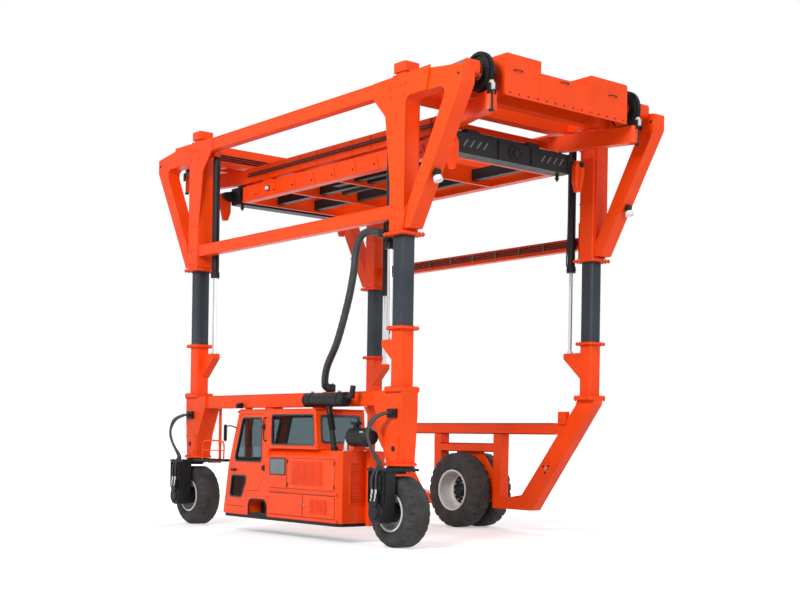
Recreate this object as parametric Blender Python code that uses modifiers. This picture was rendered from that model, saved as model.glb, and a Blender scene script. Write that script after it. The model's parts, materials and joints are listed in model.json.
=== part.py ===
"""Straddle carrier: a three-wheeled portal machine that drives over a 20 ft container and lifts it.

Metres, +Z up, +Y forwards, +X to the machine's right. The origin is on the ground under the middle.
The left side carries the cab, the engine and two steered wheels, the right side one twin wheel.
Four masts stand on the lower frames. The upper frame slides on them, and carries a chain hoist,
which carries the head frame with the container spreader.
"""

import math

import bmesh
import bpy
from mathutils import Matrix, Vector

# ---------------------------------------------------------------- driving dimensions
GAP = 0.0003          # between touching pieces
CLEAR = 0.006         # around pieces that slide or turn
LEG_X = 2.0           # leg centre lines
LEG_Y = 2.9
SIDE_X = 2.45         # outer face of cab, hood and knuckles

# levels
FOOT_Z = 1.19         # underside of the slewing flanges
SILL_Z = (2.07, 2.29)
LOW_FLANGE_Z = 2.30   # joint between lower frame and lower leg
MAST_Z = 3.21         # joint between lower leg and mast
SLEEVE_Z = 4.545      # underside of the upper legs
TOP_Z = 7.05          # top of the leg caps
MID_BEAM_Z = (4.79, 4.99)
TOP_BEAM_Z = (6.62, 6.84)

# legs
LEG_SIZE = 0.24
MAST_SIZE = 0.24
MAST_TOP = 5.48
SLEEVE_SIZE = 0.30
SLEEVE_BORE = MAST_SIZE + 2 * CLEAR
BEAM_X = (2.01, 2.15)         # longitudinal beams of the upper frame, clear of the cylinders
BRACKET_X = (1.90, 2.15)      # boxes that reach out beyond the legs
ARM_Y = 4.27                  # ends of the top arms

# lift cylinders, inboard of each leg
CYL_X = 1.94
CYL_Y = 2.50
ROD_R = 0.035
BARREL_R = 0.065
BARREL_Z = (4.40, 6.50)
ROD_Z = (3.05, 5.09)

# wheels
STEER_WHEEL_R = 0.52
STEER_WHEEL_W = 0.40
STEER_RIM_R = 0.29
TWIN_R = 0.675
TWIN_W = 0.39
TWIN_RIM_R = 0.37
TWIN_GAP = 0.12
WHEEL_SIDES = 28

# hoist and spreader
HOIST_Y = 3.97
HOIST_Z = 6.78
PULLEY_R = 0.27
PULLEY_X = 1.55
HEAD_Z = (6.22, 6.48)
HOOK = (1.52, 4.24)           # where the chains meet the head frame
CONTAINER_TOP_Z = 5.86
TWISTLOCK = (1.1295, 2.9265)  # half spacings of the ISO corner holes
SPREADER_Z = (CONTAINER_TOP_Z, 6.165)
END_BEAM_Y = (2.86, 3.12)
FRONT_ARM_X = 0.42            # the two ends' telescopic arms lie side by side
REAR_ARM_X = 0.70
FLIPPER_PIVOT = (1.38, 3.18, 6.02)

SIDES = {"left": -1, "right": 1}
ENDS = {"front": 1, "rear": -1}

MATERIALS = {
    # name: (colour, roughness, metallic)
    "orange_paint": ((0.90, 0.16, 0.02), 0.35, 0.0),
    "cab_paint": ((0.90, 0.16, 0.02), 0.30, 0.0),
    "mast_steel": ((0.045, 0.055, 0.065), 0.38, 0.6),
    "chrome": ((0.72, 0.73, 0.75), 0.12, 1.0),
    "black_steel": ((0.012, 0.013, 0.015), 0.45, 0.2),
    "grey_steel": ((0.16, 0.19, 0.20), 0.45, 0.4),
    "tyre_rubber": ((0.018, 0.018, 0.018), 0.85, 0.0),
    "rim_paint": ((0.72, 0.72, 0.70), 0.45, 0.0),
    "hose_rubber": ((0.015, 0.015, 0.016), 0.6, 0.0),
    "seat_vinyl": ((0.02, 0.02, 0.022), 0.7, 0.0),
    "engine_iron": ((0.08, 0.08, 0.085), 0.6, 0.5),
}


# ---------------------------------------------------------------- modelling helpers
def clear_scene():
    for item in list(bpy.data.objects):
        bpy.data.objects.remove(item, do_unlink=True)


def collection(name):
    made = bpy.data.collections.new(name)
    bpy.context.scene.collection.children.link(made)
    return made


def add(name, mesh, group):
    item = bpy.data.objects.new(name, mesh)
    group.objects.link(item)
    return item


def tool(mesh):
    """A helper solid, joined into or cut out of a piece and then removed."""
    item = add(mesh.name, mesh, TOOLS)
    item.hide_render = True
    item.display_type = "WIRE"
    return item


def baked(item):
    """The item's mesh with its modifiers applied; the item itself is removed."""
    depsgraph = bpy.context.evaluated_depsgraph_get()
    mesh = bpy.data.meshes.new_from_object(item.evaluated_get(depsgraph))
    mesh.transform(item.matrix_world)
    bpy.data.objects.remove(item, do_unlink=True)
    return mesh


def welded(mesh, turn_out=True):
    """Joins loose caps; a solid without hollows can also have its faces turned outwards."""
    shape = bmesh.new()
    shape.from_mesh(mesh)
    bmesh.ops.remove_doubles(shape, verts=shape.verts, dist=0.00001)
    if turn_out:
        bmesh.ops.recalc_face_normals(shape, faces=shape.faces)
    shape.to_mesh(mesh)
    shape.free()
    return mesh


def block(x, y, z):
    """A box between two limits on each axis, in either order."""
    low = Vector([min(pair) for pair in (x, y, z)])
    high = Vector([max(pair) for pair in (x, y, z)])
    shape = bmesh.new()
    place = Matrix.Translation((low + high) / 2) @ Matrix.Diagonal((*(high - low), 1))
    bmesh.ops.create_cube(shape, size=1, matrix=place)
    mesh = bpy.data.meshes.new("block")
    shape.to_mesh(mesh)
    shape.free()
    return tool(mesh)


def along(start, end):
    """A frame at start whose Z axis runs to end."""
    way = Vector(end) - Vector(start)
    return Matrix.Translation(start) @ way.to_track_quat("Z", "Y").to_matrix().to_4x4()


def rod(start, end, radius, sides=20, end_radius=None):
    length = (Vector(end) - Vector(start)).length
    shape = bmesh.new()
    bmesh.ops.create_cone(
        shape, cap_ends=True, segments=sides, radius1=radius, depth=length,
        radius2=radius if end_radius is None else end_radius,
        matrix=along(start, end) @ Matrix.Translation((0, 0, length / 2)))
    mesh = bpy.data.meshes.new("rod")
    shape.to_mesh(mesh)
    shape.free()
    return tool(mesh)


def rounded(points, steps=2):
    """Corner points (u, v) or (u, v, radius); a radius becomes an arc of a few short sides."""
    outline = []
    count = len(points)
    for index, point in enumerate(points):
        corner = Vector(point[:2])
        radius = point[2] if len(point) > 2 else 0
        if not radius:
            outline.append(corner)
            continue
        back = (Vector(points[index - 1][:2]) - corner).normalized()
        ahead = (Vector(points[(index + 1) % count][:2]) - corner).normalized()
        half = back.angle(ahead) / 2
        centre = corner + (back + ahead).normalized() * (radius / math.sin(half))
        first = corner + back * (radius / math.tan(half)) - centre
        last = corner + ahead * (radius / math.tan(half)) - centre
        turn = first.angle_signed(last)
        for step in range(steps + 1):
            arm = first.copy()
            arm.rotate(Matrix.Rotation(-turn * step / steps, 2))
            outline.append(centre + arm)
    return outline


PLANES = {
    # local x, y and z of a flat outline as world axes
    "YZ": Matrix(((0, 0, 1, 0), (1, 0, 0, 0), (0, 1, 0, 0), (0, 0, 0, 1))),
    "XZ": Matrix(((1, 0, 0, 0), (0, 0, -1, 0), (0, 1, 0, 0), (0, 0, 0, 1))),
    "XY": Matrix.Identity(4),
}


def flat(points, thickness, place):
    """A flat outline, thickness deep about its own plane, set down by a matrix."""
    curve = bpy.data.curves.new("outline", "CURVE")
    curve.dimensions = "2D"
    curve.fill_mode = "BOTH"
    curve.extrude = thickness / 2
    outline = rounded(points)
    spline = curve.splines.new("POLY")
    spline.points.add(len(outline) - 1)
    for target, point in zip(spline.points, outline):
        target.co = (point.x, point.y, 0, 1)
    spline.use_cyclic_u = True
    guide = bpy.data.objects.new("outline", curve)
    TOOLS.objects.link(guide)
    mesh = welded(baked(guide))
    mesh.transform(place)
    return tool(mesh)


def plate(points, plane, limits):
    """An outline in YZ, XZ or XY, between two limits on the third axis."""
    low, high = sorted(limits)
    axis = {"YZ": 0, "XZ": 1, "XY": 2}[plane]
    middle = Vector((0, 0, 0))
    middle[axis] = (low + high) / 2
    return flat(points, high - low, Matrix.Translation(middle) @ PLANES[plane])


def box_section(size_u, size_v, radius):
    u, v = size_u / 2, size_v / 2
    return [(-u, -v, radius), (u, -v, radius), (u, v, radius), (-u, v, radius)]


def post(x, y, z, size, radius=0.02):
    """An upright square tube, its outside only."""
    middle = Matrix.Translation((x, y, (z[0] + z[1]) / 2))
    return flat(box_section(size, size, radius), abs(z[1] - z[0]), middle)


def mirrored(points, sign):
    """The same outline on the other side of its first axis."""
    return [(sign * point[0], *point[1:]) for point in points]


def fuse(name, material, solids, cuts=()):
    """One named piece: the solids joined, less the cuts."""
    body = solids[0]
    for operation, others in (("UNION", solids[1:]), ("DIFFERENCE", cuts)):
        for other in others:
            step = body.modifiers.new(operation.lower(), "BOOLEAN")
            step.operation = operation
            step.solver = "EXACT"
            step.object = other
    mesh = welded(baked(body), turn_out=False)
    for other in (*solids[1:], *cuts):
        bpy.data.objects.remove(other, do_unlink=True)
    mesh.name = name
    mesh.materials.clear()
    mesh.materials.append(material_named(material))
    return add(name, mesh, PIECES)


def turned(profile, place, steps=32):
    """A profile of (radius, height) points turned about local Z; it runs down its outer side."""
    mesh = bpy.data.meshes.new("turned")
    ring = profile[0][0] > 0
    edges = [(i, i + 1) for i in range(len(profile) - 1)]
    if ring:
        edges.append((len(profile) - 1, 0))
    mesh.from_pydata([(radius, 0, height) for radius, height in profile], edges, [])
    item = tool(mesh)
    screw = item.modifiers.new("turn", "SCREW")
    screw.steps = screw.render_steps = steps
    screw.use_merge_vertices = True
    screw.merge_threshold = 0.0001
    shape = welded(baked(item))
    shape.transform(place)
    return tool(shape)


def material_named(name):
    if name in bpy.data.materials:
        return bpy.data.materials[name]
    colour, roughness, metallic = MATERIALS[name]
    made = bpy.data.materials.new(name)
    made.use_nodes = True
    shader = made.node_tree.nodes["Principled BSDF"]
    shader.inputs["Base Color"].default_value = (*colour, 1)
    shader.inputs["Roughness"].default_value = roughness
    shader.inputs["Metallic"].default_value = metallic
    made.diffuse_color = (*colour, 1)
    return made


def smooth(item, degrees=35):
    item.data.shade_smooth()
    item.data.set_sharp_from_angle(angle=math.radians(degrees))
    return item


def pivot(items, point):
    """Moves the items' origins to a joint's axis; their surfaces stay where they are."""
    for item in items:
        item.data.transform(Matrix.Translation(-Vector(point)))
        item.location = point


ACROSS = Matrix.Rotation(math.pi / 2, 4, "Y")      # turned pieces whose axis lies along X


def smooth_route(stops, spacing):
    """Points a set way apart on a smooth curve through the stops (Catmull-Rom)."""
    stops = [Vector(stop) for stop in stops]
    padded = [2 * stops[0] - stops[1], *stops, 2 * stops[-1] - stops[-2]]
    fine = []
    for a, b, c, d in zip(padded, padded[1:], padded[2:], padded[3:]):
        for step in range(20):
            t = step / 20
            fine.append(0.5 * (2 * b + (c - a) * t + (2 * a - 5 * b + 4 * c - d) * t * t
                               + (3 * b - a - 3 * c + d) * t ** 3))
    fine.append(stops[-1])
    route = [fine[0]]
    for point in fine:
        if (point - route[-1]).length >= spacing:
            route.append(point)
    if (fine[-1] - route[-1]).length < spacing / 2:
        route.pop()
    return [*route, fine[-1]]


def hose(route, radius):
    """A round tube along a route, with filled ends."""
    curve = bpy.data.curves.new("hose", "CURVE")
    curve.dimensions = "3D"
    curve.bevel_depth = radius
    curve.bevel_resolution = 2
    curve.use_fill_caps = True
    spline = curve.splines.new("POLY")
    spline.points.add(len(route) - 1)
    for target, point in zip(spline.points, route):
        target.co = (*point, 1)
    guide = bpy.data.objects.new("hose", curve)
    TOOLS.objects.link(guide)
    return tool(welded(baked(guide)))


# ---------------------------------------------------------------- lower frames
FLANGE_T = 0.03
FLANGE_LOW = 0.385
FLANGE_MID = 0.365
FLANGE_UP = 0.45


def flange(x, y, z, size):
    return post(x, y, z, size, 0.03)


def left_lower_frame():
    """A sill beam between two tapering feet, with hangers for the cab and engine unit."""
    sill_x = (-2.12, -1.88)
    solids = [block(sill_x, (-2.75, 2.75), SILL_Z)]
    foot = [(3.09, 2.28, 0), (3.09, 1.95, 0), (3.04, 1.21, 0), (2.74, 1.21, 0),
            (2.66, 1.60, 0.3), (2.42, 2.10, 0), (2.42, 2.28, 0)]
    for end in ENDS.values():
        solids.append(plate(mirrored(foot, end), "YZ", (-2.15, -1.85)))
        solids.append(flange(-LEG_X, end * LEG_Y, (LOW_FLANGE_Z - FLANGE_T, LOW_FLANGE_Z), FLANGE_LOW))
        solids.append(rod((-LEG_X, end * LEG_Y, FOOT_Z), (-LEG_X, end * LEG_Y, FOOT_Z + 0.035), 0.24, 24))
    for y in (1.33, -2.10):                     # hangers ahead of the cab and behind the hood
        solids.append(block((-1.98, -1.88), (y - 0.04, y + 0.04), (0.26, SILL_Z[0] + 0.02)))
    for y in (0.45, -0.95):                     # pads that the cab roof hangs from
        solids.append(block((-2.10, -1.90), (y - 0.12, y + 0.12), (2.02 + GAP, SILL_Z[0] + 0.02)))
    # bracket that holds the engine unit's floor and the air cleaner
    solids.append(block((-2.30, -1.88), (-2.14, -2.06), (1.40, 1.46)))
    return fuse("left_lower_frame", "orange_paint", solids)


def right_lower_frame():
    """Slanting legs, posts and beams around the twin wheel, whose axle a web plate carries."""
    x = (LEG_X - 0.10, LEG_X + 0.10)
    side = [(3.09, 2.28), (3.09, 2.20), (1.70, 0.38, 0.04), (0.71, 0.38), (0.71, 0.57),
            (1.00, 0.57), (1.44, 0.645, 0.04), (2.68, 2.18), (2.72, 2.28)]
    solids = [block(x, (-2.56, 2.56), (1.695, 1.89))]
    for end in ENDS.values():
        solids.append(plate(mirrored(side, end), "YZ", x))
        solids.append(block(x, (end * 0.71, end * 0.90), (0.50, 1.75)))
        solids.append(block((LEG_X - 0.14, LEG_X - 0.05), (end * 2.32, end * 2.50), (1.87, 2.08)))
        solids.append(flange(LEG_X, end * LEG_Y, (LOW_FLANGE_Z - FLANGE_T, LOW_FLANGE_Z), FLANGE_LOW))
    solids.append(block(x, (-0.80, 0.80), (1.37, 1.53)))
    web = [(0.28, 1.45), (0.58, 1.05), (0.76, 0.90), (0.76, 0.50), (0.26, 0.44),
           (-0.26, 0.44), (-0.76, 0.50), (-0.76, 0.90), (-0.58, 1.05), (-0.28, 1.45)]
    solids.append(plate(web, "YZ", (1.975, 2.025)))
    solids.append(rod((1.955, 0, TWIN_R), (2.045, 0, TWIN_R), 0.16))
    axle_hole = rod((1.9, 0, TWIN_R), (2.1, 0, TWIN_R), 0.065 + CLEAR)
    return fuse("right_lower_frame", "orange_paint", solids, [axle_hole])


def lower_leg(name, sx, sy):
    """Bolted stub leg with the bracket that the lift rod stands on."""
    bracket = [(sy * 2.80, 3.05), (sy * 2.42, 3.05), (sy * 2.42, 2.96), (sy * 2.80, 2.62)]
    solids = [
        post(sx * LEG_X, sy * LEG_Y, (LOW_FLANGE_Z + 0.02, MAST_Z - 0.01), LEG_SIZE),
        flange(sx * LEG_X, sy * LEG_Y, (LOW_FLANGE_Z + GAP, LOW_FLANGE_Z + FLANGE_T), FLANGE_LOW),
        flange(sx * LEG_X, sy * LEG_Y, (MAST_Z - FLANGE_T, MAST_Z), FLANGE_MID),
        plate(bracket, "YZ", (sx * (CYL_X - 0.07), sx * (CYL_X + 0.07))),
    ]
    return fuse(f"lower_leg_{name}", "orange_paint", solids)


def mast(name, sx, sy):
    tube = post(sx * LEG_X, sy * LEG_Y, (MAST_Z + GAP, MAST_TOP), MAST_SIZE, 0.035)
    return fuse(f"mast_{name}", "mast_steel", [tube])


def lift_rod(name, sx, sy):
    x, y = sx * CYL_X, sy * CYL_Y
    foot = rod((x, y, ROD_Z[0] + GAP), (x, y, ROD_Z[0] + 0.035), 0.055)
    shaft = rod((x, y, ROD_Z[0] + 0.02), (x, y, ROD_Z[1]), ROD_R)
    return smooth(fuse(f"lift_rod_{name}", "chrome", [foot, shaft]))


# ---------------------------------------------------------------- cab and engine unit
CAB_X = (-SIDE_X, -1.52)
WALL = 0.045
DECK_Z = 0.30
CAB_REAR_Y = -0.10       # lower rear wall; the upper part reaches back over the hood
CAB_ROOF_Z = 2.02
HOOD_TOP_Z = 1.39
HOOD_REAR_Y = -2.00
DOOR_HINGE = (-2.457, 0.030, 1.2)

CAB_OUTLINE = [(1.27, DECK_Z + GAP, 0.03), (1.12, 1.10), (0.79, CAB_ROOF_Z, 0.07),
               (-1.38, CAB_ROOF_Z, 0.05), (-1.44, HOOD_TOP_Z + 0.01), (CAB_REAR_Y, HOOD_TOP_Z + 0.01),
               (CAB_REAR_Y, DECK_Z + GAP)]
CAB_HOLLOW = [(1.21, 0.35), (1.065, 1.09), (0.75, 1.975, 0.03),
              (-1.33, 1.975, 0.02), (-1.385, 1.445), (-0.055, 1.445), (-0.055, 0.35)]
DOOR_OUTLINE = [(0.735, 1.955, 0.05), (0.05, 1.955, 0.03), (0.05, 1.00), (0.20, 0.70), (0.56, 0.70),
                (0.62, 0.43), (1.17, 0.43, 0.03), (1.045, 1.09)]
DOOR_WINDOW = [(0.69, 1.90, 0.06), (0.11, 1.90, 0.04), (0.11, 1.17, 0.05), (0.95, 1.17, 0.06)]
LOW_WINDOW = [(1.01, 0.95, 0.05), (0.57, 0.95, 0.03), (0.56, 0.86), (0.70, 0.58, 0.05), (1.08, 0.58, 0.05)]
SIDE_WINDOW = [(-0.17, 1.945, 0.04), (-1.32, 1.945, 0.04), (-1.36, 1.46, 0.04), (-0.17, 1.46, 0.04)]


def inset(points, distance):
    """The outline moved inwards by a distance, corner by corner."""
    flat_points = [Vector(point[:2]) for point in points]
    count = len(flat_points)
    area = sum(a.x * b.y - b.x * a.y for a, b in zip(flat_points, flat_points[1:] + flat_points[:1]))
    turn = 1 if area > 0 else -1
    moved = []
    for index, corner in enumerate(flat_points):
        back = (corner - flat_points[index - 1]).normalized()
        ahead = (flat_points[(index + 1) % count] - corner).normalized()
        normals = [Vector((-way.y, way.x)) * turn for way in (back, ahead)]
        bisector = (normals[0] + normals[1]).normalized()
        shift = bisector * (distance / bisector.dot(normals[0]))
        moved.append((*(corner + shift), *points[index][2:]))
    return moved


def engine_floor():
    """Tray under the cab and the engine unit."""
    outline = [(-2.43, 1.25, 0.03), (-1.55, 1.25), (-1.55, -1.99), (-2.36, -1.99), (-2.43, -1.90)]
    return fuse("engine_floor", "black_steel", [plate(outline, "XY", (0.25, DECK_Z - GAP))])


def cab_shell():
    """Hollow cab with its windows cut, open where the door hangs, and a foot recess below it."""
    body = plate(CAB_OUTLINE, "YZ", CAB_X)
    hollow = plate(CAB_HOLLOW, "YZ", (CAB_X[0] + WALL, CAB_X[1] - WALL))
    shell = fuse("cab_body", "cab_paint", [body], [hollow])
    step_box = block((-2.42, -2.16), (CAB_REAR_Y + 0.02, 0.58), (DECK_Z + 0.02, 0.68))
    arch = [(0.49, 0.20), (0.49, 0.57, 0.12), (-0.05, 0.57, 0.12), (-0.05, 0.20)]
    outer_wall = (CAB_X[0] - 0.05, CAB_X[0] + WALL + 0.01)
    inner_wall = (CAB_X[1] - WALL - 0.01, CAB_X[1] + 0.05)
    glass_x = (CAB_X[0] + 0.09, CAB_X[1] - 0.09)
    windscreen = [(1.30, 1.24), (0.85, 1.19), (0.66, 1.90), (1.02, 1.93)]
    inner_window = [(0.62, 1.93, 0.05), (-1.30, 1.93, 0.05), (-1.33, 1.47, 0.05), (-0.10, 1.47, 0.05),
                    (-0.02, 1.20, 0.05), (0.86, 1.20, 0.05)]
    cuts = [
        plate(arch, "YZ", (-2.50, -2.20)),
        plate(DOOR_OUTLINE, "YZ", outer_wall),
        plate(SIDE_WINDOW, "YZ", outer_wall),
        plate(inner_window, "YZ", inner_wall),
        plate(windscreen, "YZ", glass_x),
        block(glass_x, (-1.55, -1.25), (1.50, 1.93)),
    ]
    return fuse("cab_shell", "cab_paint", [shell, step_box], cuts)


def cab_door():
    """Whole-height door; the upper window and the low one are cut through it."""
    leaf_x = (-SIDE_X, -SIDE_X + 0.04)
    leaf = plate(inset(DOOR_OUTLINE, CLEAR), "YZ", leaf_x)
    cuts = [plate(shape, "YZ", (-2.5, -2.38)) for shape in (DOOR_WINDOW, LOW_WINDOW)]
    door = fuse("cab_door", "cab_paint", [leaf], cuts)
    pivot([door], DOOR_HINGE)
    return door


def cab_seat():
    """Seat on its box, with armrests and the steering console ahead of it."""
    middle = -1.88
    solids = [
        block((middle - 0.22, middle + 0.22), (0.05, 0.50), (0.35 + GAP, 0.78)),
        block((middle - 0.25, middle + 0.25), (0.03, 0.54), (0.76, 0.88)),
        plate([(0.12, 0.84), (0.00, 1.50, 0.04), (-0.035, 1.50), (-0.035, 0.80), (0.10, 0.80)], "YZ",
              (middle - 0.24, middle + 0.24)),
        plate([(0.98, 0.35 + GAP), (0.98, 0.95), (0.86, 1.12), (0.72, 1.08), (0.84, 0.35 + GAP)], "YZ",
              (middle - 0.14, middle + 0.14)),
        block((middle - 0.10, middle + 0.10), (0.45, 0.90), (0.35 + GAP, 0.42)),
    ]
    return fuse("cab_seat", "seat_vinyl", solids)


def hood_corner(inwards):
    """The prism that chamfers the hood's rear outer corner, moved inwards by a sheet or not."""
    x, y = -SIDE_X + inwards, HOOD_REAR_Y + inwards
    return plate([(x - 0.1, y - 0.1), (x + 0.17, y - 0.1), (x - 0.1, y + 0.17)], "XY", (0.2, 1.5))


def engine_hood():
    """Sheet cover over the engine, open underneath, with a sloped outer top edge."""
    front = CAB_REAR_Y - GAP
    sheet = 0.012
    section = [(-2.45, DECK_Z + GAP), (-2.45, 1.27), (-2.36, HOOD_TOP_Z), (-1.58, HOOD_TOP_Z),
               (-1.58, DECK_Z + GAP)]
    hollow = [(x - math.copysign(sheet, x + 2.0), z) for x, z in
              ((-2.45, 0.2), (-2.45, 1.265), (-2.36, HOOD_TOP_Z - sheet), (-1.58, HOOD_TOP_Z - sheet),
               (-1.58, 0.2))]
    body = plate(section, "XZ", (HOOD_REAR_Y, front))
    space = plate(hollow, "XZ", (HOOD_REAR_Y + sheet, front - sheet))
    inside = fuse("hood_space", "cab_paint", [space], [hood_corner(sheet)])
    return fuse("engine_hood", "cab_paint", [body], [inside, hood_corner(0)])


def engine_block():
    """One plain mass for the closed-in engine and pumps."""
    solids = [block((-2.28, -1.76), (-1.70, -0.55), (0.42, 1.16))]
    for y in (-1.55, -0.70):
        solids.append(block((-2.20, -1.84), (y - 0.06, y + 0.06), (DECK_Z, 0.44)))
    return fuse("engine_block", "engine_iron", solids)


def exhaust_silencer():
    """Silencer beside the sill beam, its pipe from the hood and its tail pipe."""
    x, z = -2.305, 2.165
    solids = [
        rod((x, -0.96, z), (x, -1.93, z), 0.105),
        rod((x, -1.90, z + 0.02), (x, -2.12, z + 0.05), 0.042, 12),
        rod((x, -2.09, z + 0.02), (x, -2.13, z + 0.20), 0.042, 12),
        rod((x, -1.50, z - 0.05), (x, -1.68, HOOD_TOP_Z + 0.03), 0.042, 12),
        rod((x, -1.68, HOOD_TOP_Z + GAP), (x, -1.68, HOOD_TOP_Z + 0.06), 0.06, 12),
    ]
    for y in (-1.10, -1.80):                      # straps to the sill beam
        solids.append(block((x, -2.12 - GAP), (y - 0.02, y + 0.02), (z - 0.03, z + 0.03)))
    return smooth(fuse("exhaust_silencer", "black_steel", solids))


def air_cleaner():
    """Canister with its rain cap and end bowl, behind the hood."""
    x, z = -2.24, 1.60
    solids = [
        rod((x, -2.04, z), (x, -2.48, z), 0.135),
        rod((x, -2.44, z), (x, -2.54, z), 0.155, 20, 0.10),
        rod((x, -2.14, z + 0.10), (x, -2.14, z + 0.20), 0.05, 12),
        rod((x, -2.14, z + 0.19), (x, -2.14, z + 0.23), 0.09, 12),
        block((x - 0.05, x + 0.05), (-2.13, -2.07), (1.46 + GAP, 1.52)),
    ]
    return smooth(fuse("air_cleaner", "black_steel", solids))


# ---------------------------------------------------------------- wheels
def tyre_profile(outer, inner, width):
    """Closed section of a solid tyre: radius and height, down the outer side."""
    half = width / 2
    depth = outer - inner
    return [(outer - 0.020, half * 0.62), (outer, half * 0.45), (outer, -half * 0.45),
            (outer - 0.020, -half * 0.62), (outer - depth * 0.22, -half * 0.93),
            (outer - depth * 0.45, -half), (inner + depth * 0.15, -half * 0.95),
            (inner, -half * 0.90), (inner, half * 0.90), (inner + depth * 0.15, half * 0.95),
            (outer - depth * 0.45, half), (outer - depth * 0.22, half * 0.93)]


def tyre(name, centre, outer, inner, width):
    ring = turned(tyre_profile(outer, inner, width), Matrix.Translation(centre) @ ACROSS, WHEEL_SIDES)
    return smooth(fuse(name, "tyre_rubber", [ring]), 25)


def rim_profile(radius, width, disc_z, bore):
    """Section of a dished rim: a barrel with a disc across it, closed at its middle."""
    half = width / 2
    wall = 0.022
    radius = radius - GAP
    return [(0, disc_z + 0.03), (bore, disc_z + 0.03), (bore + 0.02, disc_z + 0.012),
            (radius - wall, disc_z + 0.012), (radius - wall, half), (radius, half), (radius, -half),
            (radius - wall, -half), (radius - wall, disc_z - 0.012), (bore, disc_z - 0.012),
            (bore - 0.02, disc_z - 0.03), (0, disc_z - 0.03)]


def rim(centre, radius, width, disc_z, bore):
    return turned(rim_profile(radius, width, disc_z, bore), Matrix.Translation(centre) @ ACROSS, WHEEL_SIDES)


def steered_wheel(end_name, sy):
    """Black knuckle on its slewing ring, with the drive motor outboard of the wheel."""
    centre = (-LEG_X, sy * LEG_Y, STEER_WHEEL_R)
    x, y, axle_z = centre
    fork = [(-0.20, 1.13), (-0.20, 0.62), (-0.13, 0.36, 0.08), (0.13, 0.36, 0.08), (0.20, 0.62), (0.20, 1.13)]
    solids = [
        plate([(y + u, *rest) for u, *rest in fork], "YZ", (-2.43, -2.25)),
        block((-SIDE_X + 0.01, -1.84), (y - 0.23, y + 0.23), (1.115, 1.155)),
        rod((x, y, 1.15), (x, y, FOOT_Z - CLEAR), 0.21),
        rod((-SIDE_X, y, axle_z), (-2.42, y, axle_z), 0.115),
        rod((-2.26, y, axle_z), (-2.10, y, axle_z), 0.15),
        block((-2.27, -1.90), (y - 0.015, y + 0.015), (1.07, 1.12)),
    ]
    knuckle = fuse(f"knuckle_{end_name}", "black_steel", solids)
    inner_face = fuse(f"wheel_rim_{end_name}", "rim_paint",
                      [rim(centre, STEER_RIM_R, 0.36, 0.02, 0.09)])
    rubber = tyre(f"wheel_tyre_{end_name}", centre, STEER_WHEEL_R, STEER_RIM_R, STEER_WHEEL_W)
    pivot([knuckle], (-LEG_X, sy * LEG_Y, FOOT_Z))
    pivot([smooth(inner_face), rubber], centre)


def twin_wheel():
    """Two wheels on one axle, either side of the right frame's web plate."""
    offset = TWIN_GAP / 2 + TWIN_W / 2
    centres = {"inner": LEG_X - offset, "outer": LEG_X + offset}
    rims = [rim((x, 0, TWIN_R), TWIN_RIM_R, TWIN_W * 0.92, math.copysign(0.10, LEG_X - x), 0.12)
            for x in centres.values()]
    axle = rod((centres["inner"] + 0.08, 0, TWIN_R), (centres["outer"] - 0.08, 0, TWIN_R), 0.065)
    hub = smooth(fuse("twin_wheel_rims", "rim_paint", [axle, *rims]))
    tyres = [tyre(f"twin_tyre_{name}", (x, 0, TWIN_R), TWIN_R, TWIN_RIM_R, TWIN_W)
             for name, x in centres.items()]
    pivot([hub, *tyres], (LEG_X, 0, TWIN_R))


# ---------------------------------------------------------------- upper frame
BRACKET = [(2.96, 6.86), (3.30, 6.86, 0.05), (ARM_Y, 6.74), (ARM_Y, 6.50, 0.04), (3.20, 4.62),
           (2.96, 4.62)]
BRACKET_OPENING = [(3.10, 4.93), (3.10, 6.50, 0.10), (3.95, 6.50, 0.10)]
GUSSET = [(3.62, 6.86), (3.20, 5.20), (3.05, 4.60), (2.75, 4.60), (2.75, 5.30), (2.62, 6.30),
          (2.30, 6.64), (2.30, 6.84)]


def upper_frame(side_name, sx):
    """Two sleeves on the masts, joined by two long beams, with a braced bracket beyond each."""
    beam_x = (sx * BEAM_X[0], sx * BEAM_X[1])
    bracket_x = (sx * BRACKET_X[0], sx * (BRACKET_X[1] - 0.012))
    solids = []
    cuts = []
    for sy in ENDS.values():
        x, y = sx * LEG_X, sy * LEG_Y
        solids.append(post(x, y, (SLEEVE_Z + 0.01, 6.87), SLEEVE_SIZE))
        solids.append(flange(x, y, (SLEEVE_Z, SLEEVE_Z + FLANGE_T), FLANGE_UP))
        solids.append(post(x, y, (6.86, 6.92), 0.22))
        solids.append(flange(x, y, (6.91, TOP_Z), SLEEVE_SIZE - 0.02))
        solids.append(plate(mirrored(BRACKET, sy), "YZ", bracket_x))
        solids.append(block((sx * 1.90, sx * 2.02), (sy * 2.44, sy * 2.56), (BARREL_Z[1] + 0.06, 6.68)))
        solids.append(block((sx * 1.90, sx * 2.02), (sy * 2.49, sy * 2.80), (6.60, 6.68)))
        cuts.append(plate(mirrored(BRACKET_OPENING, sy), "YZ", (sx * 1.8, sx * 2.3)))
        cuts.append(post(x, y, (SLEEVE_Z - 0.1, 6.80), SLEEVE_BORE, 0.03))
    solids.append(block(beam_x, (-2.80, 2.80), TOP_BEAM_Z))
    solids.append(block(beam_x, (-2.80, 2.80), MID_BEAM_Z))
    frame = fuse(f"upper_frame_{side_name}", "orange_paint", solids, cuts)
    gussets = [plate(mirrored(GUSSET, sy), "YZ", (sx * 2.144, sx * 2.162)) for sy in ENDS.values()]
    openings = [plate(mirrored(inset(BRACKET_OPENING, -0.02), sy), "YZ", (sx * 1.8, sx * 2.3))
                for sy in ENDS.values()]
    return fuse(f"upper_frame_{side_name}", "orange_paint", [frame, *gussets], openings)


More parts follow.
